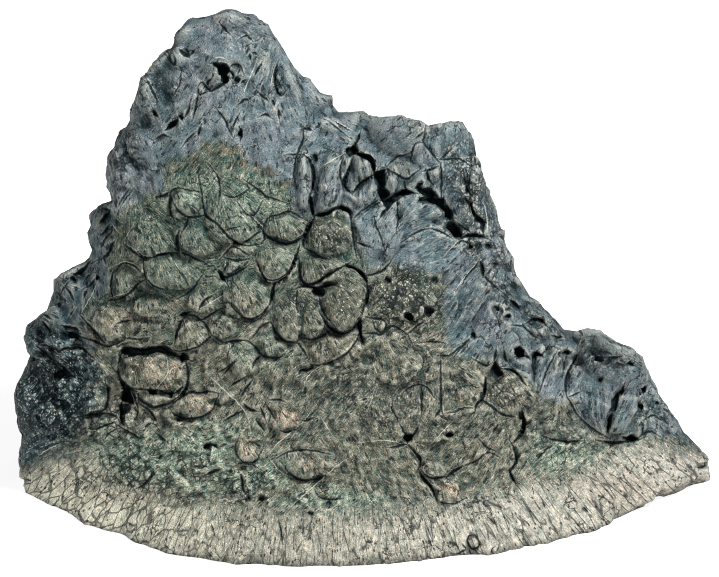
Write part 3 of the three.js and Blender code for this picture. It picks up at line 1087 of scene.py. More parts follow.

# %% [markdown]
# ## Slots
#
# Where plates broke apart, the openings have corners and straight sides. Each
# is an outline in the photo after its depth in mm, and the finish paints shade
# into it. Pale threads, the thin edges of blades and scales that catch the
# light, are kept as lines with a width in pixels and drawn by the finish as
# painted highlights.

# %% Cut the slots and note the pale threads
SLOTS = lines_of("""
0.9 345,150 357,149 358,153 350,158 345,158
1.1 373,175 382,172 384,179 385,186 384,190 390,196 387,200 383,201 377,200 379,192 379,186 376,180
0.9 384,203 392,202 400,194 405,191 413,194 405,195 399,199 393,204 387,210 385,207
1 415,188 423,182 419,187 423,191 431,192 433,196 432,200 441,199 442,205 448,208 453,213 451,221 447,220
    443,219 445,213 436,206 428,202 419,202 419,200 428,199 428,196 420,191
1 448,222 452,222 459,229 460,238 453,239 444,230
0.8 463,200 469,201 470,207 473,213 478,222 476,223 471,214 467,211 468,206
0.5 466,178 469,179 468,190 473,198 470,198 465,191
0.6 480,221 484,222 483,232 479,230 481,226
0.5 464,243 468,237 474,235 479,236 483,240 477,239 470,239 467,242
0.4 472,246 474,246 478,252 475,254
0.9 214,64 229,67 231,72 230,83 226,85 226,76 221,75 220,68
0.4 236,82 238,78 241,78 243,81 240,85 237,84
0.5 233,73 236,74 235,80 233,79
0.5 276,83 276,75 279,67 280,73 278,80 282,86 284,93 280,92
0.9 127,384 133,389 137,397 135,402 124,399 123,395 126,391
0.7 180,353 189,354 188,358 186,361 182,358
0.6 130,347 138,349 150,349 158,346 166,344 172,350 168,352 157,352 150,352 140,353 131,352 126,355 125,351
0.4 176,394 184,386 183,389 178,394
0.4 151,388 158,388 156,391 152,391
0.5 122,402 130,402 133,408 127,412 122,410
""")
PALE_THREADS = lines_of("""
1.6 113,226 115,225 118,230 121,233
1.8 75,273 82,276
1.6 86,308 89,303 92,298 96,290 99,283
1.6 126,240 130,234 133,229
1.4 330,360 316,368 307,376 304,387
1.2 373,363 377,373
1.6 311,411 303,422 289,433 276,444 269,455
1.2 230,463 254,464
1.4 269,455 281,471 293,476
1.2 322,417 332,433
1.8 293,503 308,490 324,476 338,463 351,455
1 370,403 374,390
1.4 216,380 249,411 251,428
1.2 359,441 389,438 405,444
1.4 450,422 432,441
1.4 131,246 149,258 156,256
1.4 116,266 127,261 136,264
1.8 259,268 274,283
1.2 114,297 128,293
1.2 201,309 225,295
1.6 253,217 265,229
1.8 169,360 171,373 157,389
1.6 133,391 139,409
2.2 39,456 48,449 59,444
1.8 70,452 84,449
2.4 322,168 342,156
2 335,122 352,132
1.6 387,201 396,198 403,190
1.4 214,63 221,59 229,63
1.6 245,95 252,78 257,66
1.6 272,86 274,74 277,66
1.2 172,372 173,368 177,367
1.6 480,262 470,268 455,290
1.4 447,252 458,240 466,233
1.6 483,205 486,215 487,236
1.4 186,358 189,368 190,376
1.2 176,391 184,384
1.4 143,350 150,345
""")
WALL_WIDTH = 0.08


def cut_slot(depth, outline):
    corners = across_up(outline)
    window = map_window(corners, 0.2)
    inside = inward_distance(ragged_places[window], corners)
    wall = unit(0.5 + inside / WALL_WIDTH)
    deepen(gap_depth, window, PORE_DEPTH_SHARE * depth * wall)
    # painted shade: the inside of a slot is darkened by the finish
    deepen(gap_shadow, window, min(1, 1.2 * depth) * wall)


for depth, outline in SLOTS:
    cut_slot(depth, outline)
pale_lines = [(rounded_line(across_up(pixels)), width / PIXELS_PER_MM) for width, pixels in PALE_THREADS]
print("slots:", len(SLOTS), "pale threads:", len(pale_lines))

# %% [markdown]
# ## Zones
#
# The specimen has five kinds of surface: grey broken metal, olive lobes, the
# brown gritty face, the pale skirt and a rough left side, which the finish
# paints near black as shade. Each zone is an outline in the photo with a soft
# and ragged border. The same zones later set the colours, and here they say
# where each kind of fine relief goes.

# %% Map the zones
GREY_ZONE = points_of("""
0,-60 780,-60 780,450 700,447 660,437 640,438 608,435 590,428 580,422 568,402 555,400 540,398 520,372
505,366 490,361 455,355 442,340 446,300 440,275 420,270 395,264 385,270 368,272 358,250 352,222 345,208
330,213 313,215 300,217 293,197 290,185 272,180 262,170 245,165 240,150 225,142 210,145 190,160 175,160
168,175 165,195 150,190 120,215 113,240 110,260 112,290 98,300 84,302 80,315 82,330 95,345 0,345
""")
DARK_ZONE = points_of("""
-20,318 45,316 70,330 82,338 96,362 104,376 88,384 96,400 84,420 70,438 45,455 22,470 -20,480
""")
SKIRT_ZONE = points_of("""
-20,476 20,473 60,455 95,458 125,482 150,492 200,505 320,510 430,506 480,492 520,484 560,474 600,458 640,440
700,450 780,455 780,640 -20,640
""")


def zone(outline, border, shake):
    """1 well within an outline, 0 well outside it, and a ragged change over the border between."""
    distance = inward_distance(map_places, across_up(outline))
    distance += shake * (cloud(map_places, 0.9, 40) + 0.6 * cloud(map_places, 0.3, 41))
    return unit(0.5 + distance / border).astype(np.float32)


zone_grey = zone(GREY_ZONE, 0.35, 0.16)
zone_dark = zone(DARK_ZONE, 0.6, 0.25)
zone_skirt = zone(SKIRT_ZONE, 1.1, 0.25)
OLIVE_FROM_UP = 5.6
OLIVE_BORDER = 2.4
lobe_height = unit((map_places[..., 1] - OLIVE_FROM_UP) / OLIVE_BORDER)
zone_olive = lobe_height * (1 - zone_grey) * (1 - zone_dark)
zone_shares = [round(float(part.mean()), 2) for part in (zone_grey, zone_dark, zone_skirt)]
print("share of grey, dark, skirt:", zone_shares)

# %% [markdown]
# ## Which way the fibres run
#
# The metal grew outward, so it is full of fine fibres. On the skirt they run
# like spokes from one hub high on the lump. Elsewhere their direction changes
# from place to place, so it is written down at some places, as x,y and an angle
# in degrees, and blended between them. A direction has no front and back, so
# its angle is doubled for blending and halved again.

# %% Blend the fibre directions
HUB = across_up((330, 200))
FIBRES = rows_of("""
470,290 52  455,330 52  490,320 60  500,345 60  525,310 140  545,330 120  520,370 105  548,372 68
575,372 60  592,400 95  575,415 112  615,350 150  625,415 62  640,395 65  660,400 140  690,440 138
480,270 45  500,250 120  470,215 112  478,180 100  450,175 70  430,145 80  400,215 48  375,240 75
425,235 25  330,190 70  306,185 92  325,150 55  345,130 145  362,170 95  395,140 40  390,185 100  250,70 68
260,85 70  290,85 118  280,110 110  230,110 75  200,110 62  185,130 50  150,95 118  165,60 130  190,40 20
215,40 60  240,30 150  130,160 110  120,190 100  105,230 80  75,290 100  60,320 150  50,345 142  30,350 150
35,395 50  60,400 48  78,385 130  95,420 25  60,445 30  180,220 80  235,215 55  290,230 20  205,240 10
160,280 70  250,300 45  340,300 60  335,345 30  400,360 60  420,330 30  330,410 50  430,400 80  440,440 40
470,420 45  500,450 60  540,420 40  560,450 35  250,400 60  200,450 20  150,450 40  300,480 40  235,340 40
510,392 55  156,372 20  420,480 125  350,440 115
""")


BLEND_CORE = 0.15
NOTHING = 1e-9


def blended_directions():
    """Unit steps along the fibres for the whole relief map."""
    cosines = np.zeros(map_places.shape[:2])
    sines = np.zeros(map_places.shape[:2])
    for x, y, angle in FIBRES:
        away = ((map_places - across_up((x, y))) ** 2).sum(axis=-1)
        weight = 1 / (away + BLEND_CORE) ** 2
        cosines += weight * math.cos(math.radians(2 * angle))
        sines += weight * math.sin(math.radians(2 * angle))
    strength = np.hypot(cosines, sines) + NOTHING
    spoke = map_places - HUB
    spoke_angle = 2 * np.arctan2(spoke[..., 1], spoke[..., 0])
    cosines = cosines / strength * (1 - zone_skirt) + np.cos(spoke_angle) * zone_skirt
    sines = sines / strength * (1 - zone_skirt) + np.sin(spoke_angle) * zone_skirt
    angle = np.arctan2(sines, cosines) / 2 + 0.25 * cloud(map_places, 0.6, 50)
    return np.stack([np.cos(angle), np.sin(angle)], axis=-1).astype(np.float32)


directions = blended_directions()


def combed(pattern, length):
    """A pattern smeared along the fibres, which turns grains into strands."""
    shape = np.array(pattern.shape)
    total = pattern.copy()
    for sense in (1.0, -1.0):
        places = lattice_of(*[np.arange(size) for size in pattern.shape]).astype(np.float32)
        heading = sense * directions
        for _ in range(int(length / MAP_STEP / 2)):
            places = np.clip(places + heading, 0, shape - 1)
            near = np.round(places).astype(np.int32)
            local = directions[near[..., 0], near[..., 1]]
            heading = np.where((local * heading).sum(axis=-1, keepdims=True) < 0, -local, local)
            total += pattern[near[..., 0], near[..., 1]]
    total -= total.mean()
    return total / total.std()


COARSE_STRAND = {"width": 0.16, "length": 1.1}
FINE_STRAND = {"width": 0.07, "length": 0.5}
coarse_strands = combed(cloud(map_places, COARSE_STRAND["width"], 60), COARSE_STRAND["length"])
fine_strands = combed(cloud(map_places, FINE_STRAND["width"], 61), FINE_STRAND["length"])
print("fibre directions blended from", len(FIBRES), "places")

# %% [markdown]
# ## Fine relief
#
# Every zone gets its own fine relief on top of the gaps. The gritty face is a
# heap of grains, which are cells with raised middles. The skirt is made of
# columns seen from the side, so it gets shallow strands. The grey metal gets
# strands, worm-shaped pits and steps between plates. The dark side is the
# roughest.

# %% Add the fine relief
def facets(places, size, seed):
    """Flat facets of the given size, each tipped its own way, as heights from -1 to 1."""
    _, _, number = cells(places, size, seed)
    slope_angle = number * 2 * math.pi * 7
    wave = places / size
    height = wave[..., 0] * np.cos(slope_angle) + wave[..., 1] * np.sin(slope_angle)
    height = 2 * (height - np.floor(height)) - 1
    return (1 - 2 * np.abs(height)).astype(np.float32)


# The rim is a line of points in plan. The height of the apron depends only on how far a point lies inside
# that line, and nothing of the lower front may stand out beyond it.
FEATHERS = rows_of("""
470,305 45 55  420,235 50 28  550,375 40 28  610,410 45 30  340,185 35 40  165,60 25 25  275,95 25 40
120,190 12 50  60,330 40 20
""")


def from_oval(x, y, half_width, half_height):
    """How far the map's places are from the middle of an oval in the photo, 1 at its edge."""
    away = (ragged_places - across_up((x, y))) * PIXELS_PER_MM
    return length_of(away / np.array([half_width, half_height]))


def spotted(spots):
    """1 in the middle of ovals and 0 away from them."""
    amount = np.zeros(map_places.shape[:2], dtype=np.float32)
    for spot in spots:
        amount = np.maximum(amount, unit(1.6 - 1.4 * from_oval(*spot)))
    return amount


GRAIN_SIZE = 0.3
SMALL_GRAIN_SIZE = 0.17
CLOD_SIZE = 0.75
CHIP_SIZE = 0.55
PLATE_SIZE = 1.3
grain_middle, _, _ = cells(shaken(map_places, 0.3, 0.06, 70), GRAIN_SIZE, 71)
small_middle, _, _ = cells(shaken(map_places, 0.2, 0.04, 72), SMALL_GRAIN_SIZE, 73)
_, clod_edge, _ = cells(shaken(map_places, 0.8, 0.25, 74), CLOD_SIZE, 75)
chip_height = facets(shaken(map_places, 0.5, 0.12, 76), CHIP_SIZE, 77)
plate_height = facets(shaken(map_places, 0.9, 0.3, 84), PLATE_SIZE, 85)
face = (1 - zone_grey) * (1 - zone_skirt) * (1 - zone_dark)
gritty = face * (1 - 0.7 * zone_olive)
feathered = spotted(FEATHERS) * zone_grey
crack_share = unit(cloud(map_places, 1.6, 78) * 2 + 0.3)
worm = cloud(shaken(map_places, 0.5, 0.2, 80), 0.22, 81)
worm_pits = unit(1 - np.abs(worm) / 0.07) * unit(cloud(map_places, 0.5, 82) * 3 - 0.5)
print("share of the front that is gritty:", round(float(gritty.mean()), 2))

# %% [markdown]
# ## How high each kind of relief stands
#
# The patterns above run from 0 to 1 or from -1 to 1, and the numbers here are
# what they cut or raise in mm. What is subtracted stands out, because the map
# says how deep the front is cut. Towards the outline all of it fades, so that
# the outline keeps its course.

# %% Add up the relief
fine_relief = 0.04 * cloud(map_places, 0.9, 90) + 0.012 * cloud(map_places, 0.16, 91)
fine_relief -= gritty * (0.02 * (0.5 - grain_middle) + 0.02 * (0.5 - small_middle))
fine_relief -= face * 0.012 * (coarse_strands + 0.5 * fine_strands)
fine_relief += face * (0.02 + 0.03 * (1 - zone_olive)) * chip_height + 0.08 * gritty * plate_height
clod_cracks = unit(1 - clod_edge / 0.06) * crack_share * gritty
fine_relief += 0.08 * clod_cracks
fine_relief -= zone_skirt * (0.008 * coarse_strands + 0.008 * fine_strands)
fine_relief -= feathered * (0.03 * coarse_strands + 0.015 * fine_strands)
fine_relief += zone_grey * (0.08 * worm_pits + 0.06 * plate_height + 0.015 * chip_height)
fine_relief -= zone_dark * (
    0.03 * coarse_strands + 0.12 * (0.5 - grain_middle) + 0.08 * (0.5 - small_middle)
)
fine_relief += zone_dark * 0.08 * chip_height
# painted shade in the worm pits of the grey metal
gap_shadow = np.maximum(gap_shadow, 0.7 * worm_pits * zone_grey)
COARSE = 4
EDGE_FADE = 1.3
near_edge = inward_distance(sight_plane[::COARSE, ::COARSE], OUTLINE_MM).astype(np.float32)


def plane_values(plane, first_up, step, places):
    """Values of a coarse map of the sight plane at places in it."""
    across = np.clip((places[..., 0] - GRID_X[0]) / step, 0, plane.shape[0] - 1.001)
    up = np.clip((places[..., 1] - first_up) / step, 0, plane.shape[1] - 1.001)
    i, j = across.astype(int), up.astype(int)
    a, b = across - i, up - j
    low = plane[i, j] * (1 - a) + plane[i + 1, j] * a
    high = plane[i, j + 1] * (1 - a) + plane[i + 1, j + 1] * a
    return low * (1 - b) + high * b


from_edge = plane_values(near_edge, sight_ups[0], COARSE * STEP, map_places)
away_from_edge = unit(from_edge / EDGE_FADE - 0.15)
thick_enough = np.maximum(away_from_edge, 1 - lobe_height)
cut_depth = (gap_depth + hollow_depth) * thick_enough + shoulder_drop * (0.4 + 0.6 * thick_enough)
cut_depth += fine_relief * (0.25 + 0.75 * away_from_edge)
print("relief in mm:", round(float(cut_depth.min()), 2), "to", round(float(cut_depth.max()), 2))

# %% [markdown]
# The map is now spread along the line of sight and added to the field, as far
# back as the crest. Every second column of the map lies on a column of the
# grid.

# %% Cut the relief into the masses
FRONT_ENDS = 3.0
FRONT_FADE = 1.6


def before_crest(y):
    """1 on the front, 0 behind the crest."""
    return unit((FRONT_ENDS + FRONT_FADE - y) / FRONT_FADE)


on_front = before_crest(Y).astype(np.float32)
field += seen_from_front(cut_depth[::2].astype(np.float32), MAP_FIRST_UP, MAP_STEP) * on_front
print("metal share of the grid, cut:", round(float((field < 0).mean()), 3))

# %% [markdown]
# ## From field to skin
#
# OpenVDB, the volume library that comes with Blender, draws the skin where
# the field is zero. Only a thin band of the field matters for that, so it is
# clipped first, and the underside is cut flat at the level of the floor.

# %% Draw the skin
BAND = 0.4


def skin_of(field):
    band = np.clip(np.maximum(field, -Z), -BAND, BAND).astype(np.float32)
    volume = openvdb.FloatGrid(BAND)
    volume.copyFromArray(band)
    points, quads = volume.convertToQuads(0.0)
    return points * STEP + GRID_START, quads


def skin_object(points, quads):
    mesh = bpy.data.meshes.new("thulium_skin")
    mesh.from_pydata((points * MM).tolist(), [], quads.tolist())
    skin = bpy.data.objects.new("thulium_skin", mesh)
    bpy.context.scene.collection.objects.link(skin)
    return skin


points, quads = skin_of(field)
skin = skin_object(points, quads)
print("skin points:", len(points), "quads:", len(quads))

# %% [markdown]
# ## Roughness in three dimensions
#
# The relief map only suits what the viewer sees. Everywhere else the skin is
# moved in and out by patterns that live in space, so that no side is drawn out
# along the line of sight. The underside stays flat.

# %% Roughen the rest of the skin
def point_values(mesh, name, size):
    values = np.empty(len(mesh.vertices) * size, dtype=np.float32)
    mesh.vertices.foreach_get(name, values)
    return values.reshape(-1, size) if size > 1 else values


def seen_share(points, normals):
    """1 where the skin faces the viewer on the front, 0 on the sides, the top's far half and the back."""
    facing = unit(normals @ TO_VIEWER * 2.2 - 0.2)
    return facing * before_crest(points[:, 1])


RIM_HEIGHT = 0.8
FLAT_UNTIL = 0.05
KNUCKLE_SIZE = 0.85
PIMPLE_SIZE = 0.32


def roughen(mesh):
    points = point_values(mesh, "co", 3) / MM
    normals = point_values(mesh, "normal", 3)
    hidden = 1 - seen_share(points, normals)
    hidden *= unit((points[:, 2] - FLAT_UNTIL) / 0.4)
    loose = shaken(points, 0.8, 0.2, 100)
    middle, edge, _ = cells(loose, KNUCKLE_SIZE, 103)
    small_middle, _, _ = cells(shaken(points, 0.3, 0.1, 104), PIMPLE_SIZE, 107)
    depth = 0.12 * (middle - 0.5) + 0.08 * unit(1 - edge / 0.10)
    depth += 0.05 * (small_middle - 0.5) + 0.12 * cloud(points, 1.4, 108) + 0.03 * cloud(points, 0.4, 109)
    depth += 0.08 * unit(1 - np.abs(cloud(loose, 0.5, 110)) / 0.12)
    points -= normals * (depth * hidden)[:, None]
    upright = points * [1, 1, 0.3]
    push = 0.09 * cloud(upright, 0.5, 141) + 0.05 * cloud(upright, 0.22, 144)
    points[:, :2] -= normals[:, :2] * (push * unit(1 - points[:, 2] / RIM_HEIGHT))[:, None]
    points[:, 2] = np.maximum(points[:, 2], 0)
    mesh.vertices.foreach_set("co", (points * MM).astype(np.float32).ravel())
    mesh.update()


roughen(skin.data)
print("hidden sides roughened")

# %% [markdown]
# ## Fewer triangles where nothing happens
#
# An even skin spends as many triangles on the flat underside as on the lobes.
# The decimate modifier removes the points that change the shape least. A
# vertex group makes points on the seen front dearer than the others, and the
# result stays under the library's limit for one piece. Thinning leaves a few
# loose faces, and deep cuts leave closed pockets within the metal, so only the
# largest connected part of the mesh is kept. To find it, every point starts
# with its own number, and neighbours pass on the lower one until none changes.

# %% Thin out the skin
TRIANGLE_LIMIT = 196000
SEEN_WEIGHT = 0.15
LEVELS = 4


def thinned(skin):
    mesh = skin.data
    points = point_values(mesh, "co", 3) / MM
    seen = seen_share(points, point_values(mesh, "normal", 3))
    group = skin.vertex_groups.new(name="hidden")
    for level in range(LEVELS + 1):
        chosen = np.nonzero(np.round((1 - seen) * LEVELS).astype(int) == level)[0]
        group.add(chosen.tolist(), max(level / LEVELS, SEEN_WEIGHT), "REPLACE")
    modifier = skin.modifiers.new("thin", "DECIMATE")
    modifier.ratio = TRIANGLE_LIMIT / (2 * len(mesh.polygons))
    modifier.vertex_group = group.name
    modifier.use_collapse_triangulate = True
    skin_now = skin.evaluated_get(bpy.context.evaluated_depsgraph_get())
    skin.data = bpy.data.meshes.new_from_object(skin_now)
    skin.modifiers.clear()
    skin.vertex_groups.clear()
    bpy.data.meshes.remove(mesh)


def largest_alone(mesh):
    """Drops everything but the largest connected part."""
    ends = np.empty(len(mesh.edges) * 2, dtype=np.int32)
    mesh.edges.foreach_get("vertices", ends)
    ends = ends.reshape(-1, 2)
    group = np.arange(len(mesh.vertices))
    settled = False
    while not settled:
        labels = group[ends]
        lowest = labels.min(axis=1)
        before = group.copy()
        np.minimum.at(group, labels[:, 0], lowest)
        np.minimum.at(group, labels[:, 1], lowest)
        group = group[group]
        settled = bool((group == before).all())
    keep = group == np.bincount(group).argmax()
    shape = bmesh.new()
    shape.from_mesh(mesh)
    loose_points = [point for point, kept in zip(shape.verts, keep) if not kept]
    bmesh.ops.delete(shape, geom=loose_points, context="VERTS")
    shape.to_mesh(mesh)
    shape.free()
    print("loose points dropped:", int((~keep).sum()))


thinned(skin)
mesh = skin.data
largest_alone(mesh)
mesh.polygons.foreach_set("use_smooth", np.ones(len(mesh.polygons), dtype=bool))
skin.data.name = "thulium_skin"
triangles = sum(len(polygon.vertices) - 2 for polygon in mesh.polygons)
print("triangles:", triangles)

# %% [markdown]
# ## Marks on the skin for the finish
#
# The finish needs to know what kind of surface each point belongs to, how deep
# in a gap it lies and whether it stands proud, so that it can paint shade into
# gaps and hollows and a highlight on what stands proud. That is stored in the
# mesh as named attributes, which any material can read from any side. What
# stands proud or lies deep is found by blurring the metal itself: where more
# than half of the neighbourhood is metal, the place is a hollow.

# %% Measure hollows and ridges
def blurred(volume, radius):
    """The mean of a volume over a small box, by running sums along each axis."""
    for axis in range(3):
        padding = [(radius + 1, radius) if k == axis else (0, 0) for k in range(3)]
        sums = np.cumsum(np.pad(volume, padding, mode="edge"), axis=axis, dtype=np.float32)
        width = 2 * radius + 1
        ahead = np.take(sums, range(width, sums.shape[axis]), axis=axis)
        behind = np.take(sums, range(0, sums.shape[axis] - width), axis=axis)
        volume = (ahead - behind) / width
    return volume


def grid_values(volume, points):
    """Values of a grid at points, blended between the eight corners round each."""
    place = (points - GRID_START) / STEP
    place = np.clip(place, 0, np.array(volume.shape) - 1.001)
    low = place.astype(int)
    share = place - low
    total = np.zeros(len(points))
    for corner in itertools.product((0, 1), repeat=3):
        weight = np.prod([share[:, k] if up else 1 - share[:, k] for k, up in enumerate(corner)], axis=0)
        total += weight * volume[low[:, 0] + corner[0], low[:, 1] + corner[1], low[:, 2] + corner[2]]
    return total


metal = unit(0.5 - np.maximum(field, -Z) / STEP).astype(np.float32)
skin_points = point_values(mesh, "co", 3) / MM
skin_normals = point_values(mesh, "normal", 3)
NEAR_CELLS = 2
WIDE_CELLS = 6
metal_near = grid_values(blurred(metal, NEAR_CELLS), skin_points)
metal_round = grid_values(blurred(metal, WIDE_CELLS), skin_points)
print("metal near the skin:", round(float(metal_near.mean()), 3), round(float(metal_round.mean()), 3))

# %% [markdown]
# The zones are maps of the front, so they fade out behind the crest, where all
# is grey broken metal. Each mark is a named attribute with one value per point.

# %% Store the marks
def sight_places(points):
    ups = (points[:, 1] - CREST_Y) * UP_IN_VIEW[1] + points[:, 2] * UP_IN_VIEW[2]
    return np.stack([points[:, 0], ups], axis=-1)


def map_values(plane, points):
    """Values of a relief-sized map at points of the skin, seen from the front."""
    return plane_values(plane, MAP_FIRST_UP, MAP_STEP, sight_places(points))


def store(name, values):
    attribute = mesh.attributes.new(name, "FLOAT", "POINT")
    attribute.data.foreach_set("value", np.asarray(values, dtype=np.float32))


seen = seen_share(skin_points, skin_normals)
from_front = before_crest(skin_points[:, 1])
grey = 1 - (1 - map_values(zone_grey, skin_points)) * from_front
dark = map_values(zone_dark, skin_points) * from_front
skirt = map_values(zone_skirt, skin_points) * from_front
grey = np.maximum(grey - skirt, 0)
DEEPEST_VALLEY = 0.35
MARKS = {
    "grey": grey,
    "dark": dark,
    "skirt": skirt,
    "olive": map_values(zone_olive, skin_points) * from_front,
    # Painted shade goes where a point lies in a gap, a hollow, deep or beside a gap, and a painted highlight
    # where it stands proud.
    "gap": map_values(gap_shadow, skin_points) * unit(seen * 2),
    "hollow": unit((metal_near - 0.5) * 5),
    "proud": unit((0.5 - metal_near) * 5),
    "deep_shade": unit((metal_round - 0.5) * 4),
    "valley_shade": unit(map_values(shoulder_drop, skin_points) / DEEPEST_VALLEY) * seen,
    "feather": map_values(feathered, skin_points) * from_front,
}
for name, values in MARKS.items():
    store(name, values)
print("marks stored:", list(MARKS))

# %% [markdown]
# ## Fibre coordinates
#
# The fibres are too fine for the mesh, so the finish draws them, and for that
# it needs to know at each face which way is along and which is across. Every
# lobe has fibres that fan out from a hub above and left of it. The grey metal
# is a patchwork of bundles, each with its own direction. On the skirt all
# fibres run from the one hub, and on the hidden sides bundles lie any way.
# The values belong to face corners, so that two bundles can meet at an edge
# without a smear.

# %% Lay the fibre coordinates
def fan_coordinates(places, hub, radius):
    """Across and along for fibres that fan out from a hub, true to size at the given radius."""
    spread = places - hub
    angle = np.arctan2(spread[..., 0], -spread[..., 1])
    return np.stack([angle * radius, length_of(spread)], axis=-1)


corner_points = np.empty(len(mesh.loops), dtype=np.int32)
mesh.loops.foreach_get("vertex_index", corner_points)
corner_points = corner_points.reshape(-1, 3)
face_places = skin_points[corner_points].mean(axis=1)
face_sights = shaken(sight_places(face_places), 0.4, 0.12, 120)
corner_sights = sight_places(skin_points[corner_points.ravel()]).reshape(-1, 3, 2)
flow = np.zeros((len(corner_points), 3, 3))

nearest = np.full(len(face_places), FAR_AWAY)
for number, (x, y, angle) in enumerate(FIBRES):
    away = np.linalg.norm(face_sights - across_up((x, y)), axis=1)
    chosen = away < nearest
    nearest = np.minimum(nearest, away)
    turn = math.radians(angle)
    across = corner_sights[chosen] @ np.array([-math.sin(turn), math.cos(turn)])
    along = corner_sights[chosen] @ np.array([math.cos(turn), math.sin(turn)])
    flow[chosen] = np.stack([across, along, np.full_like(across, number)], axis=-1)

HUB_ANGLE = math.radians(120)
HUB_REACH = 1.5
LOBE_REACH = 1.12
LOBE_NUMBERS = 100
SKIRT_NUMBER = 200
SKIRT_RADIUS = 14.0
nearest = np.full(len(face_places), LOBE_REACH)
for number, (x, y, half_width, half_height, _) in enumerate(LOBES):
    half = np.array([half_width, half_height]) / PIXELS_PER_MM
    away = np.linalg.norm((face_sights - across_up((x, y))) / half, axis=1)
    chosen = away < nearest
    nearest = np.where(chosen, away, nearest)
    radius = HUB_REACH * half.max()
    hub = across_up((x, y)) + radius * np.array([math.cos(HUB_ANGLE), math.sin(HUB_ANGLE)])
    fan = fan_coordinates(corner_sights[chosen], hub, radius)
    flow[chosen] = np.concatenate([fan, np.full_like(fan[..., :1], LOBE_NUMBERS + number)], axis=-1)

face_skirt = map_values(zone_skirt, face_places) > 0.4
fan = fan_coordinates(corner_sights[face_skirt], HUB, SKIRT_RADIUS)
flow[face_skirt] = np.concatenate([fan, np.full_like(fan[..., :1], SKIRT_NUMBER)], axis=-1)

BUNDLES = 24
BUNDLE_SIZE = 1.6
HIDDEN_BELOW = 0.22
face_normals = skin_normals[corner_points].mean(axis=1)
face_hidden = seen_share(face_places, face_normals) < HIDDEN_BELOW
_, _, bundle = cells(shaken(face_places, 0.8, 0.3, 130), BUNDLE_SIZE, 131)
for number in range(BUNDLES):
    chosen = face_hidden & ((bundle * BUNDLES).astype(int) == number)
    flow[chosen] = skin_points[corner_points[chosen]] @ random_turn(np.random.default_rng(number))


def store_at_corners(name, values):
    attribute = mesh.attributes.new(name, "FLOAT_VECTOR", "CORNER")
    attribute.data.foreach_set("vector", values.astype(np.float32).ravel())


store_at_corners("flow", flow)
print("faces with fibre coordinates:", len(flow))

# %% [markdown]
# ## Hairline cracks
#
# The narrowest cracks are thinner than the mesh can cut. Each triangle close
# to a gap line is told where that line passes: how far each of its corners
# lies to the left or right of it, and how wide it is there. Distances to a
# straight line blend evenly over a flat triangle, so the finish can draw the
# line in its true width, however fine it is.

# %% Lay the hairlines
HALO = 0.2
NO_LINE = 9.0
PALE_WIDTH = 0.16
DARK_WIDTH = 0.09
face_middles = sight_places(face_places)
hairline = np.zeros((len(corner_points), 3, 3))
hairline[..., 0] = NO_LINE
closest = np.full(len(face_places), HALO)
dark_and_pale = [(*item, 1.0) for item in gap_lines] + [(*item, 0.0) for item in pale_lines]
for line, width, darkness in dark_and_pale:
    low, high = line.min(axis=0) - HALO, line.max(axis=0) + HALO
    near = np.nonzero(((face_middles > low) & (face_middles < high)).all(axis=1) & ~face_hidden)[0]
    way, _, stretch = nearest_on_line(face_middles[near], line)
    distance = length_of(way) - 0.5 * width
    chosen = distance < closest[near]
    near, stretch = near[chosen], stretch[chosen]
    closest[near] = distance[chosen]
    legs = np.diff(line, axis=0)
    leg_lengths = np.linalg.norm(legs, axis=1)
    heading = (legs / leg_lengths[:, None])[stretch][:, None]
    walked = (np.cumsum(leg_lengths) - leg_lengths)[stretch][:, None]
    spread = corner_sights[near] - line[stretch][:, None]
    beside = spread[..., 0] * heading[..., 1] - spread[..., 1] * heading[..., 0]
    along = walked + (spread * heading).sum(axis=-1)
    to_end = np.minimum(along, leg_lengths.sum() - along) / (0.3 * leg_lengths.sum())
    half_width = (PALE_WIDTH + DARK_WIDTH * darkness) * width * np.clip(to_end, -1, 1)
    hairline[near] = np.stack([beside, half_width, np.full_like(beside, darkness)], axis=-1)
store_at_corners("hairline", hairline)
print("triangles beside a line:", int((closest < HALO).sum()), "lines:", len(dark_and_pale))
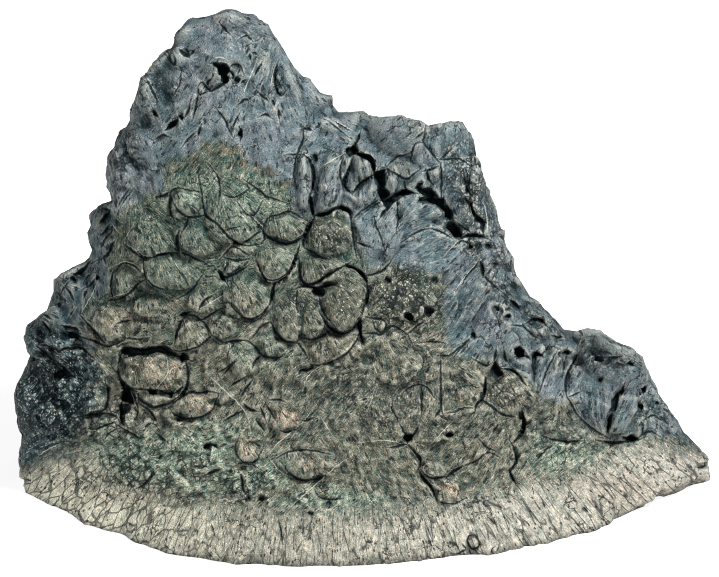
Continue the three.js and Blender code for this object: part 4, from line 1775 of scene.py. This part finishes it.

# %% [markdown]
# ## Tinted patches
#
# Some places differ from their zone: rust brown where the lobes meet the grey
# metal, pinkish worn spots, umber lobes near the middle, teal painted shade in
# the hollows and shadowed places, and patches where the crust is crazed by a
# net of fine cracks. Each is an oval in the photo, its place x,y and half
# sizes, with a strength. The hidden sides are crazed all over.

# %% Store the tinted patches
TINTS = {
    "rust": rows_of("""
172,168 9 7 0.9  212,148 14 6 1  235,152 16 5 0.9  250,166 14 5 1  266,172 12 6 1  285,186 10 6 0.9
195,160 6 10 0.7  405,168 11 9 0.6  442,285 9 12 0.6  600,379 4 5 0.8  640,424 14 8 0.6  455,150 10 6 0.4
265,66 4 5 0.8  92,308 6 9 0.6  190,41 8 8 0.4  205,68 6 6 0.4  325,128 6 8 0.5  555,402 26 5 0.4
135,190 8 14 0.3
"""),
    "pink": rows_of("""
156,371 14 11 1  178,372 8 8 1  165,385 16 6 0.5  197,402 18 11 0.6  250,448 11 12 0.8  287,419 12 11 0.7
449,488 10 9 0.7  512,396 16 16 0.4  310,463 16 8 0.3  135,315 20 12 0.4  110,320 14 12 0.4
185,305 20 12 0.3  420,465 20 10 0.3  245,300 14 16 0.25  585,425 20 6 0.4  430,340 16 8 0.3
130,495 50 12 0.25  620,490 60 20 0.3
"""),
    "umber": rows_of("""
328,234 26 24 0.8  343,298 26 34 0.7  322,268 22 14 0.5  404,300 38 42 0.7  133,366 11 15 0.9
158,358 26 6 0.7  156,372 38 30 0.3  132,410 10 18 0.9  300,300 30 30 0.5  220,250 30 12 0.3
330,345 60 25 0.35  390,400 110 40 0.3  250,360 70 30 0.3  505,390 24 26 0.3
"""),
    "teal_shade": rows_of("""
36,450 16 18 0.9  66,294 9 10 0.9  162,94 10 22 0.9  146,128 8 8 0.9  124,136 7 8 0.9  80,278 12 8 0.9
107,217 8 9 0.9  485,320 70 60 0.3  610,400 90 50 0.3  470,190 36 60 0.45  72,310 34 34 0.9
160,98 18 32 0.6  130,150 22 22 0.5  100,240 14 46 0.6  226,72 14 14 0.7  243,78 9 12 0.6  282,84 8 16 0.6
250,40 36 9 0.4  465,195 26 46 0.6  480,160 18 30 0.3  400,188 50 12 0.5  520,305 40 18 0.4
640,385 24 40 0.5  600,345 50 9 0.5  690,440 30 12 0.7  340,175 14 26 0.4  90,400 26 46 0.5
64,452 36 10 0.8
"""),
    "mint": rows_of("""
150,455 70 28 1  240,470 60 22 0.8  205,450 40 24 0.9  330,500 60 16 0.6  220,430 40 20 0.4
560,455 40 24 0.6  190,190 40 20 0.4  250,200 50 30 0.3  120,430 30 20 0.5  260,350 40 20 0.3
205,480 60 18 0.6
"""),
    "crazed": rows_of("""
466,175 26 40 0.9  480,230 22 40 0.7  500,270 22 30 0.7  160,470 70 30 0.9  115,420 30 30 0.8
404,300 36 40 0.9  505,392 20 20 0.8  60,390 50 60 1  150,85 25 45 0.4  125,160 20 40 0.6  540,320 40 25 0.4
600,360 50 20 0.4  660,410 30 30 0.6  235,220 20 20 0.3  330,235 20 20 0.4  240,480 60 20 0.6
400,400 90 50 0.35  560,440 50 30 0.4  250,40 40 15 0.3  420,130 30 12 0.3
"""),
}
CRAZED_BEHIND = 0.4
for tint, ovals in TINTS.items():
    amount = np.zeros(map_places.shape[:2])
    for *oval, strength in ovals:
        amount = np.maximum(amount, strength * unit(1.5 - 1.2 * from_oval(*oval)))
    hidden_amount = CRAZED_BEHIND * (1 - from_front) if tint == "crazed" else 0.0
    store(tint, map_values(amount, skin_points) * from_front + hidden_amount)
print("tints stored:", list(TINTS))

# %% [markdown]
# ## The metal's finish
#
# Thulium is silvery, but a crust like this has a thin oxide film and so many
# tiny facets that it looks matt, in greys and olive browns. One material
# covers the whole lump. It is put together by a script instead of by hand,
# because a node for each step of the sum is easier to read as a line of code.
# All of it rests on one helper, which adds a node and feeds its inputs.

# %% Start the metal finish
metal_finish = bpy.data.materials.new("thulium_crust")
metal_finish.use_nodes = True
tree = metal_finish.node_tree
tree.nodes.clear()
UNSCALED = 1 / MM


def feed(socket, source):
    """Sets a socket to a plain value or links another node's output to it."""
    if isinstance(source, bpy.types.NodeSocket):
        tree.links.new(source, socket)
    else:
        socket.default_value = source


def node(kind, inputs, **settings):
    made = tree.nodes.new(kind)
    for name, value in settings.items():
        setattr(made, name, value)
    for socket, source in inputs.items():
        feed(made.inputs[socket], source)
    return made


def calc(operation, first, second=0.0):
    return node("ShaderNodeMath", {0: first, 1: second}, operation=operation).outputs[0]


def product(*factors):
    total = factors[0]
    for factor in factors[1:]:
        total = calc("MULTIPLY", total, factor)
    return total


def ramp(value, low, high, bottom=0.0, top=1.0):
    """Turns values between low and high into values between bottom and top."""
    inputs = {"Value": value, "From Min": low, "From Max": high, "To Min": bottom, "To Max": top}
    return node("ShaderNodeMapRange", inputs).outputs["Result"]


def fall(value, low, high):
    """1 up to the low value and 0 from the high one."""
    return ramp(value, low, high, 1.0, 0.0)


def colour_mix(share, first, second, blend="MIX"):
    made = node("ShaderNodeMix", {}, data_type="RGBA", blend_type=blend)
    for socket, source in ((0, share), (6, first), (7, second)):
        feed(made.inputs[socket], source)
    return made.outputs[2]


def mark(name, output="Fac"):
    return node("ShaderNodeAttribute", {}, attribute_name=name).outputs[output]


def parts_of(vector, kind="ShaderNodeSeparateXYZ"):
    return list(node(kind, {0: vector}).outputs)[:3]


def linear(red, green, blue):
    """A screen colour from 0 to 255 as the light it stands for."""
    light = []
    for part in (red / 255, green / 255, blue / 255):
        light.append(part / 12.92 if part < 0.04045 else ((part + 0.055) / 1.055) ** 2.4)
    return (*light, 1.0)


print("material:", metal_finish.name)

# %% [markdown]
# ## Patterns to draw with
#
# Blender's noise gives soft patches and its Voronoi cells give grains, nets
# and flecks. Sizes are in mm. A pattern can lie in plain space or in the fibre
# coordinates, where it is stretched along the fibres.

# %% Define the patterns
def noise(places, size, detail=2.0, output="Fac"):
    inputs = {"Vector": places, "Scale": 1 / (size * MM), "Detail": detail}
    return node("ShaderNodeTexNoise", inputs).outputs[output]


def specks(places, size):
    """Random cells: how far it is from a cell's middle, and two random values of the cell."""
    made = node("ShaderNodeTexVoronoi", {"Vector": places, "Scale": 1 / (size * MM)})
    red, green, _ = parts_of(made.outputs["Color"], "ShaderNodeSeparateColor")
    return made.outputs["Distance"], red, green


def from_edges(places, size):
    """How far it is from the edge between two random cells."""
    inputs = {"Vector": places, "Scale": 1 / (size * MM)}
    return node("ShaderNodeTexVoronoi", inputs, feature="DISTANCE_TO_EDGE").outputs["Distance"]


def stretched(places, across, along):
    """Fibre coordinates scaled so that a pattern gets the given sizes in mm."""
    scale = (1 / across, 1 / along, 1 / across)
    return node("ShaderNodeVectorMath", {0: places, 1: scale}, operation="MULTIPLY").outputs[0]


def ruffled(places, size, amount):
    """Places pushed about by random waves, which makes straight patterns ragged."""
    waves = noise(places, size, output="Color")
    inputs = {0: waves, 1: (2 * amount * MM,) * 3, 2: places}
    return node("ShaderNodeVectorMath", inputs, operation="MULTIPLY_ADD").outputs[0]


def thin_lines(pattern, width):
    """Lines where a smooth pattern passes through its middle value."""
    from_middle = calc("ABSOLUTE", calc("SUBTRACT", pattern, 0.5))
    return fall(from_middle, 0.3 * width, width)


in_space = node("ShaderNodeTexCoord", {}).outputs["Object"]
flow_places = mark("flow", "Vector")
position_across, _, position_up = parts_of(in_space)
grey_share = mark("grey")
skirt_share = mark("skirt")
dark_share = mark("dark")
crazed_share = mark("crazed")


def patchy(size, detail, low, high, bottom=0.0, top=1.0):
    """Soft patches of the given size in mm."""
    return ramp(noise(in_space, size, detail), low, high, bottom, top)


print("nodes for places and zones:", len(tree.nodes))

# %% [markdown]
# ## Patches, strands and grains
#
# Up close the metal is a felt of strands with grains between them. Patches of
# two sizes shift the colour, two kinds of strands run along the fibres, and
# specks and grit make the grain. Each bundle of fibres reflects a little more
# or less light than the next, as a whole.

# %% Draw patches, strands and grains
STRAND = (0.08, 0.8)
HAIR = (0.045, 0.26)
GRIT_SIZE = 0.045
SPECK_SIZE = 0.085
patches = patchy(1.6, 3, 0.38, 0.62)
small_patches = patchy(0.4, 4, 0.38, 0.62)
strands = noise(stretched(flow_places, *STRAND), UNSCALED, 3)
hair = noise(stretched(flow_places, *HAIR), UNSCALED, 1)
grit = noise(in_space, GRIT_SIZE, 1)
speck_distance, speck_light, speck_kind = specks(in_space, SPECK_SIZE)
bundle_number = parts_of(flow_places)[2]
bundle_light = node("ShaderNodeTexWhiteNoise", {}, noise_dimensions="1D")
feed(bundle_light.inputs["W"], bundle_number)
print("nodes with the grain:", len(tree.nodes))

# %% [markdown]
# ## Drawing the hairlines
#
# The corners of the triangles say how far each place is from a line and how
# wide the line is. A little noise makes it ragged and lets its width vary.
# A broad painted shade and a painted highlight beside it make the line look cut.

# %% Draw the hairlines
RAGGEDNESS = 0.09
beside, half_width, line_darkness = parts_of(mark("hairline", "Vector"))
ragged = product(calc("SUBTRACT", noise(in_space, 0.16, 2), 0.5), RAGGEDNESS)
from_line = calc("ABSOLUTE", calc("ADD", beside, ragged))
line_width = patchy(0.6, 1, 0.35, 0.65, 0.5, 1.4)
into_line = calc("SUBTRACT", product(half_width, line_width), from_line)
hairlines = ramp(into_line, -0.02, 0.005)
line_shade = product(ramp(into_line, -0.07, 0.0), line_darkness)
line_highlight = product(ramp(into_line, -0.11, -0.07), fall(into_line, -0.06, -0.03), line_darkness)
print("nodes with the hairlines:", len(tree.nodes))

# %% [markdown]
# ## Nets of cracks and bright chips
#
# Where the film on the metal is crazed, fine cracks run in a net, coarse in
# some places and fine in others. The dark side and the crazed patches get
# painted glints: small bright chips, which are the middles of random cells.

# %% Draw the nets and the chips
NET_SIZE = 0.46
FINE_NET_SIZE = 0.21
CHIP_CELL_SIZE = 0.12
net = from_edges(ruffled(in_space, 0.5, 0.07), NET_SIZE)
ruffled_space = ruffled(in_space, 0.3, 0.05)
fine_net = from_edges(ruffled_space, FINE_NET_SIZE)
net_cracks = product(fall(net, 0.05, 0.10), patchy(0.8, 1, 0.42, 0.56),
                     ramp(crazed_share, 0.0, 0.7, 0.3, 1.0))
fine_cracks = product(fall(fine_net, 0.09, 0.17), patchy(0.5, 1, 0.42, 0.56),
                      ramp(crazed_share, 0.0, 0.7, 0.08, 1.0))
chip_distance, chip_kind, _ = specks(ruffled_space, CHIP_CELL_SIZE)
chips = product(fall(chip_distance, 0.20, 0.50), ramp(chip_kind, 0.45, 0.95))
# painted glints: bright chips on the dark side and sparks in the crazed patches
chip_glints = product(chips, patchy(0.5, 2, 0.42, 0.60, 0.15, 1.0), dark_share)
sparks = product(fall(chip_distance, 0.25, 0.55), ramp(chip_kind, 0.30, 0.90), crazed_share)
print("nodes with the nets:", len(tree.nodes))

# %% [markdown]
# ## Columns of the skirt
#
# The skirt is made of columns seen from the side. At its left end they show as
# a net of long cells, further right as fine dark needles, and the very edge is
# a dark, broken line.

# %% Draw the columns
COLUMN = (0.27, 0.9)
NEEDLE = (0.25, 1.5)
DASH = (0.3, 0.6)
NET_ENDS = (-9 * MM, -3 * MM)
RIM_FADE = (0.05 * MM, 0.30 * MM)
ruffled_flow = ruffled(flow_places, 0.5 / MM, 0.07 / MM)
columns = from_edges(stretched(ruffled_flow, *COLUMN), UNSCALED)
netted = ramp(position_across, *NET_ENDS)
spokes = product(fall(columns, 0.025, 0.075), ramp(netted, 0, 1, 1.0, 0.3), skirt_share)
needle_edges = from_edges(stretched(ruffled(flow_places, 0.5 / MM, 0.03 / MM), *NEEDLE), UNSCALED)
dashes = ramp(noise(stretched(flow_places, *DASH), UNSCALED, 1), 0.42, 0.52)
needles = product(fall(needle_edges, 0.03, 0.08), dashes, netted, skirt_share)
rim_line = product(fall(position_up, *RIM_FADE), patchy(0.12, 1, 0.35, 0.6, 0.3, 1.0))
print("nodes with the skirt:", len(tree.nodes))

# %% [markdown]
# ## Pits, slits, flecks and creases
#
# Between the gaps the face has marks of every small size: long pits and flecks
# along the fibres, slits where two strands part, and creases that wander.

# %% Draw the small marks
PIT = (0.11, 0.24)
SLIT = (0.15, 1.0)
FLECK = (0.24, 0.70)
CREASE_SIZE = 0.7
pit_distance, pit_kind, _ = specks(stretched(flow_places, *PIT), UNSCALED)
pit_marks = product(fall(pit_distance, 0.26, 0.36), ramp(pit_kind, 0.74, 0.78))
slits = thin_lines(noise(stretched(flow_places, *SLIT), UNSCALED, 1), 0.045)
slits = product(slits, patchy(0.5, 1, 0.42, 0.60), ramp(mark("olive"), 0, 1, 0.5, 1.0))
fleck_distance, fleck_kind, _ = specks(stretched(ruffled_flow, *FLECK), UNSCALED)
fleck_marks = product(fall(fleck_distance, 0.20, 0.29), ramp(fleck_kind, 0.38, 0.40),
                      ramp(skirt_share, 0, 1, 0.9, 0.15))
creases = thin_lines(noise(ruffled(in_space, 0.4, 0.1), CREASE_SIZE, 3), 0.024)
creases = product(creases, patchy(1.1, 1, 0.45, 0.6))
print("nodes with the small marks:", len(tree.nodes))

# %% [markdown]
# ## The colours of the zones
#
# The colours are named here as they look on a screen. The zones are laid over
# each other in order, each by its own share, and patches of random outline
# keep every zone from being flat.

# %% Lay the zones' colours
GREY = linear(100, 107, 112)
GREY_VIOLET = linear(108, 108, 118)
GREY_COOL = linear(68, 86, 92)
TEAL = linear(10, 48, 56)
OLIVE = linear(75, 84, 73)
MOSS = linear(60, 76, 68)
MINT = linear(134, 146, 132)
BROWN = linear(87, 86, 75)
UMBER = linear(57, 55, 45)
TAN = linear(144, 139, 126)
PALE = linear(172, 165, 154)
TAN_LEFT = linear(196, 190, 172)
LEFT_SIDE_SHADE = linear(6, 24, 29)
CREVICE = linear(7, 20, 23)
RUST = linear(94, 85, 70)
PINK = linear(146, 128, 112)
SPECK_AND_HIGHLIGHT = linear(214, 210, 194)
FILM_AND_GLINT = linear(178, 206, 206)
PALE_ENDS = (-6 * MM, 13 * MM)
LEFT_ENDS = (-12 * MM, -4 * MM)


def laid_over(base, layers):
    for share, colour in layers:
        base = colour_mix(share, base, colour)
    return base


face_colour = colour_mix(mark("olive"), BROWN, colour_mix(patches, MOSS, OLIVE))
grey = colour_mix(product(small_patches, 0.5), GREY, GREY_COOL)
grey = colour_mix(product(patches, 0.5), grey, GREY_VIOLET)
# painted light on the skirt's tan: paler towards the right, where the key lamp shines, and brightest at the
# far left, which gets less of it
skirt_colour_and_light = colour_mix(ramp(position_across, *PALE_ENDS), TAN, PALE)
skirt_colour_and_light = colour_mix(fall(position_across, *LEFT_ENDS), skirt_colour_and_light, TAN_LEFT)
base = laid_over(face_colour, (
    (product(small_patches, 0.25), TAN),
    (mark("umber"), UMBER),
    (mark("mint"), MINT),
    (grey_share, grey),
    (skirt_share, skirt_colour_and_light),
    # painted shade: the left side is painted near black teal
    (dark_share, LEFT_SIDE_SHADE),
    (product(mark("rust"), ramp(small_patches, 0.3, 0.6, 0.2, 1)), RUST),
    (mark("pink"), PINK),
    # painted shade: teal in hollows and shadowed places
    (product(mark("teal_shade"), ramp(small_patches, 0, 1, 0.95, 0.6)), TEAL),
))
print("nodes with the zones' colours:", len(tree.nodes))

# %% [markdown]
# ## Light and shade of the grain
#
# Strands, hair, specks and grit make the colour lighter and darker round its
# mean, and beside the gaps it is darker as painted shade. Bright grains lean to
# warm and dark ones to cold, which also turns the painted shade teal. The grey
# metal and the skirt are the calmest.

# %% Let the grain lighten and darken
COLD_CAST = (0.60, 1.05, 1.08, 1.0)
WARM_CAST = (1.18, 1.0, 0.90, 1.0)
HAIR_SWING = 0.42
SPECK_SWING = 0.36
GRIT_SWING = 0.45


def swing(pattern, reach, amount):
    """A factor round 1 that changes by the amount where a pattern is one reach from its middle."""
    return calc("ADD", product(calc("SUBTRACT", pattern, 0.5), 1 / reach, amount), 1.0)


strand_share = calc("ADD", ramp(mark("feather"), 0, 1, 0.12, 0.6), ramp(mark("olive"), 0, 1, 0.08, 0.22))
calm = calc("SUBTRACT", 1.0, calc("ADD", product(grey_share, 0.58), product(skirt_share, 0.5)))
brightness = calc("ADD", product(calc("SUBTRACT", strands, 0.5), strand_share, 2.4), 1.0)
brightness = product(brightness, ramp(bundle_light.outputs["Value"], 0, 1, 0.86, 1.14))
brightness = product(brightness, swing(hair, 0.2, product(calm, HAIR_SWING)))
brightness = product(brightness, swing(speck_light, 0.5, product(calm, SPECK_SWING)))
brightness = product(brightness, swing(grit, 0.2, product(calm, GRIT_SWING)))
# painted shade: darker beside the gaps, where the lobes curve down to them
brightness = product(brightness, ramp(mark("valley_shade"), 0.1, 0.9, 1.04, 0.86))
brightness = ramp(brightness, 0.1, 3.0, 0.1, 3.0)
cast = colour_mix(ramp(brightness, 0.5, 1.6), COLD_CAST, WARM_CAST)
tinted = colour_mix(ramp(skirt_share, 0, 1, 1.0, 0.45), base, cast, "MULTIPLY")
base = node("ShaderNodeVectorMath", {0: tinted, "Scale": brightness}, operation="SCALE").outputs[0]
print("nodes with the grain's light:", len(tree.nodes))

# %% [markdown]
# ## Bright and dark marks
#
# Last come the marks, the bright ones first and the dark ones over them:
# what stands proud gets a painted highlight and the chips painted glints,
# hollows get painted shade that is teal where they are deep, and cracks, pits
# and gaps are near black, the gaps as painted shade.

# %% Lay the bright and the dark marks
# this colour serves the pale streaks and the painted highlight on what stands proud
light_colour = colour_mix(dark_share, SPECK_AND_HIGHLIGHT, FILM_AND_GLINT)
grain_light = product(ramp(speck_kind, 0.88, 0.93), ramp(grit, 0.45, 0.6), calc("ADD", mark("umber"), 0.15))
streaks = product(ramp(hair, 0.54, 0.66), ramp(strands, 0.50, 0.60), calm)
# the gap mark is painted shade in the gaps, pores, slots and worm pits
DARK_MARKS = (
    (spokes, 0.75), (needles, 0.75), (rim_line, 0.85), (slits, 0.8), (creases, 0.85),
    (net_cracks, 0.75), (fine_cracks, 0.8), (pit_marks, 0.8), (fleck_marks, 0.9), (mark("gap"), 0.95),
)
base = laid_over(base, (
    (product(grain_light, 0.8), SPECK_AND_HIGHLIGHT),
    (product(streaks, ramp(dark_share, 0, 1, 0.3, 0.7)), light_colour),
    # painted glints on the chips and sparks
    (product(chip_glints, 0.85), FILM_AND_GLINT),
    (product(sparks, 0.75), SPECK_AND_HIGHLIGHT),
    # painted highlight on what stands proud and beside the lines
    (product(mark("proud"), 0.30), light_colour),
    (product(line_highlight, 0.22), SPECK_AND_HIGHLIGHT),
    # painted shade beside the lines and in the hollows, teal in the deepest ones
    (product(line_shade, 0.22), CREVICE),
    (product(mark("hollow"), 0.5), CREVICE),
    (product(mark("deep_shade"), 0.5), TEAL),
))
base = laid_over(base, [(product(lines, share), CREVICE) for lines, share in DARK_MARKS])
# pale threads are drawn as painted highlights, dark lines as cracks
line_colour = colour_mix(line_darkness, SPECK_AND_HIGHLIGHT, CREVICE)
base = colour_mix(product(hairlines, ramp(line_darkness, 0, 1, 0.5, 0.96)), base, line_colour)
print("nodes with the marks:", len(tree.nodes))

# %% [markdown]
# ## Relief and gloss
#
# The grain is too fine for the mesh, so a bump node lets it tilt the light.
# Only the patterns that matter most go into it, since each one is worked out
# three times there. The film dulls the metal, so it is only partly metallic.

# %% Give the finish its relief and gloss
BUMP_HEIGHT = 0.06 * MM
height = product(speck_distance, -0.5)
height = calc("ADD", height, product(strands, strand_share, 1.2))
height = calc("ADD", height, product(grit, 0.6))
height = calc("SUBTRACT", height, product(hairlines, line_darkness, 0.6))
bump = node("ShaderNodeBump", {"Strength": 0.8, "Distance": BUMP_HEIGHT, "Height": height})
shader = node("ShaderNodeBsdfPrincipled", {
    "Base Color": base,
    "Metallic": 0.25,
    "Specular IOR Level": 0.15,
    "Roughness": ramp(small_patches, 0, 1, 0.48, 0.68),
    "Normal": bump.outputs["Normal"],
})
node("ShaderNodeOutputMaterial", {"Surface": shader.outputs[0]})
skin.data.materials.clear()
skin.data.materials.append(metal_finish)
print("finish nodes:", len(tree.nodes))

# %% [markdown]
# ## Light and floor
#
# The light is soft and comes from the right and above, as in the photo, where
# the skirt is palest at the right and the left side lies in shadow. The floor
# is pale and glows a little, so it is near white whatever the view. A narrow
# pixel filter and a plain denoiser keep the fine grain sharp.

# %% Set up the light and the floor
SHARP_FILTER = 1.0
DIFFUSE_BOUNCES = 2
SKY_STRENGTH = 0.32
AIM_HEIGHT = 8.0
scene = bpy.context.scene
scene.world = bpy.data.worlds.new("studio")
scene.world.use_nodes = True
sky = scene.world.node_tree.nodes["Background"]
sky.inputs["Color"].default_value = (1, 1, 1, 1)
sky.inputs["Strength"].default_value = SKY_STRENGTH
scene.view_settings.view_transform = "Standard"
scene.cycles.filter_width = SHARP_FILTER
scene.cycles.diffuse_bounces = DIFFUSE_BOUNCES
scene.cycles.denoising_prefilter = "NONE"


def soft_light(name, place, size, power):
    data = bpy.data.lights.new(name, "AREA")
    data.shape = "DISK"
    data.size = size * MM
    data.energy = power
    lamp = bpy.data.objects.new(name, data)
    lamp.location = Vector(place) * MM
    aim = Vector((0, 0, AIM_HEIGHT * MM)) - lamp.location
    lamp.rotation_euler = aim.to_track_quat("-Z", "Y").to_euler()
    scene.collection.objects.link(lamp)


soft_light("key", (70, -60, 150), 50, 0.50)
soft_light("fill", (-120, -120, 60), 100, 0.04)

HALF_FLOOR = 0.6
FLOOR_GREY = 0.3
FLOOR_GLOW = 0.85
floor_mesh = bpy.data.meshes.new("floor")
floor_corners = [(HALF_FLOOR * x, HALF_FLOOR * y, 0) for x, y in ((-1, -1), (1, -1), (1, 1), (-1, 1))]
floor_mesh.from_pydata(floor_corners, [], [(0, 1, 2, 3)])
floor = bpy.data.objects.new("floor", floor_mesh)
scene.collection.objects.link(floor)
floor_finish = bpy.data.materials.new("pale_floor")
floor_finish.use_nodes = True
floor_shader = floor_finish.node_tree.nodes["Principled BSDF"]
floor_shader.inputs["Base Color"].default_value = (FLOOR_GREY, FLOOR_GREY, FLOOR_GREY, 1)
floor_shader.inputs["Roughness"].default_value = 0.9
floor_shader.inputs["Emission Color"].default_value = (1, 1, 1, 1)
floor_shader.inputs["Emission Strength"].default_value = FLOOR_GLOW
floor_mesh.materials.append(floor_finish)
print("lights:", len(bpy.data.lights), "half the floor in metres:", HALF_FLOOR)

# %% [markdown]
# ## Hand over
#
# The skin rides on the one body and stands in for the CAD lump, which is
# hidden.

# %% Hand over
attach(skin, "root")
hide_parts("thulium_lump")
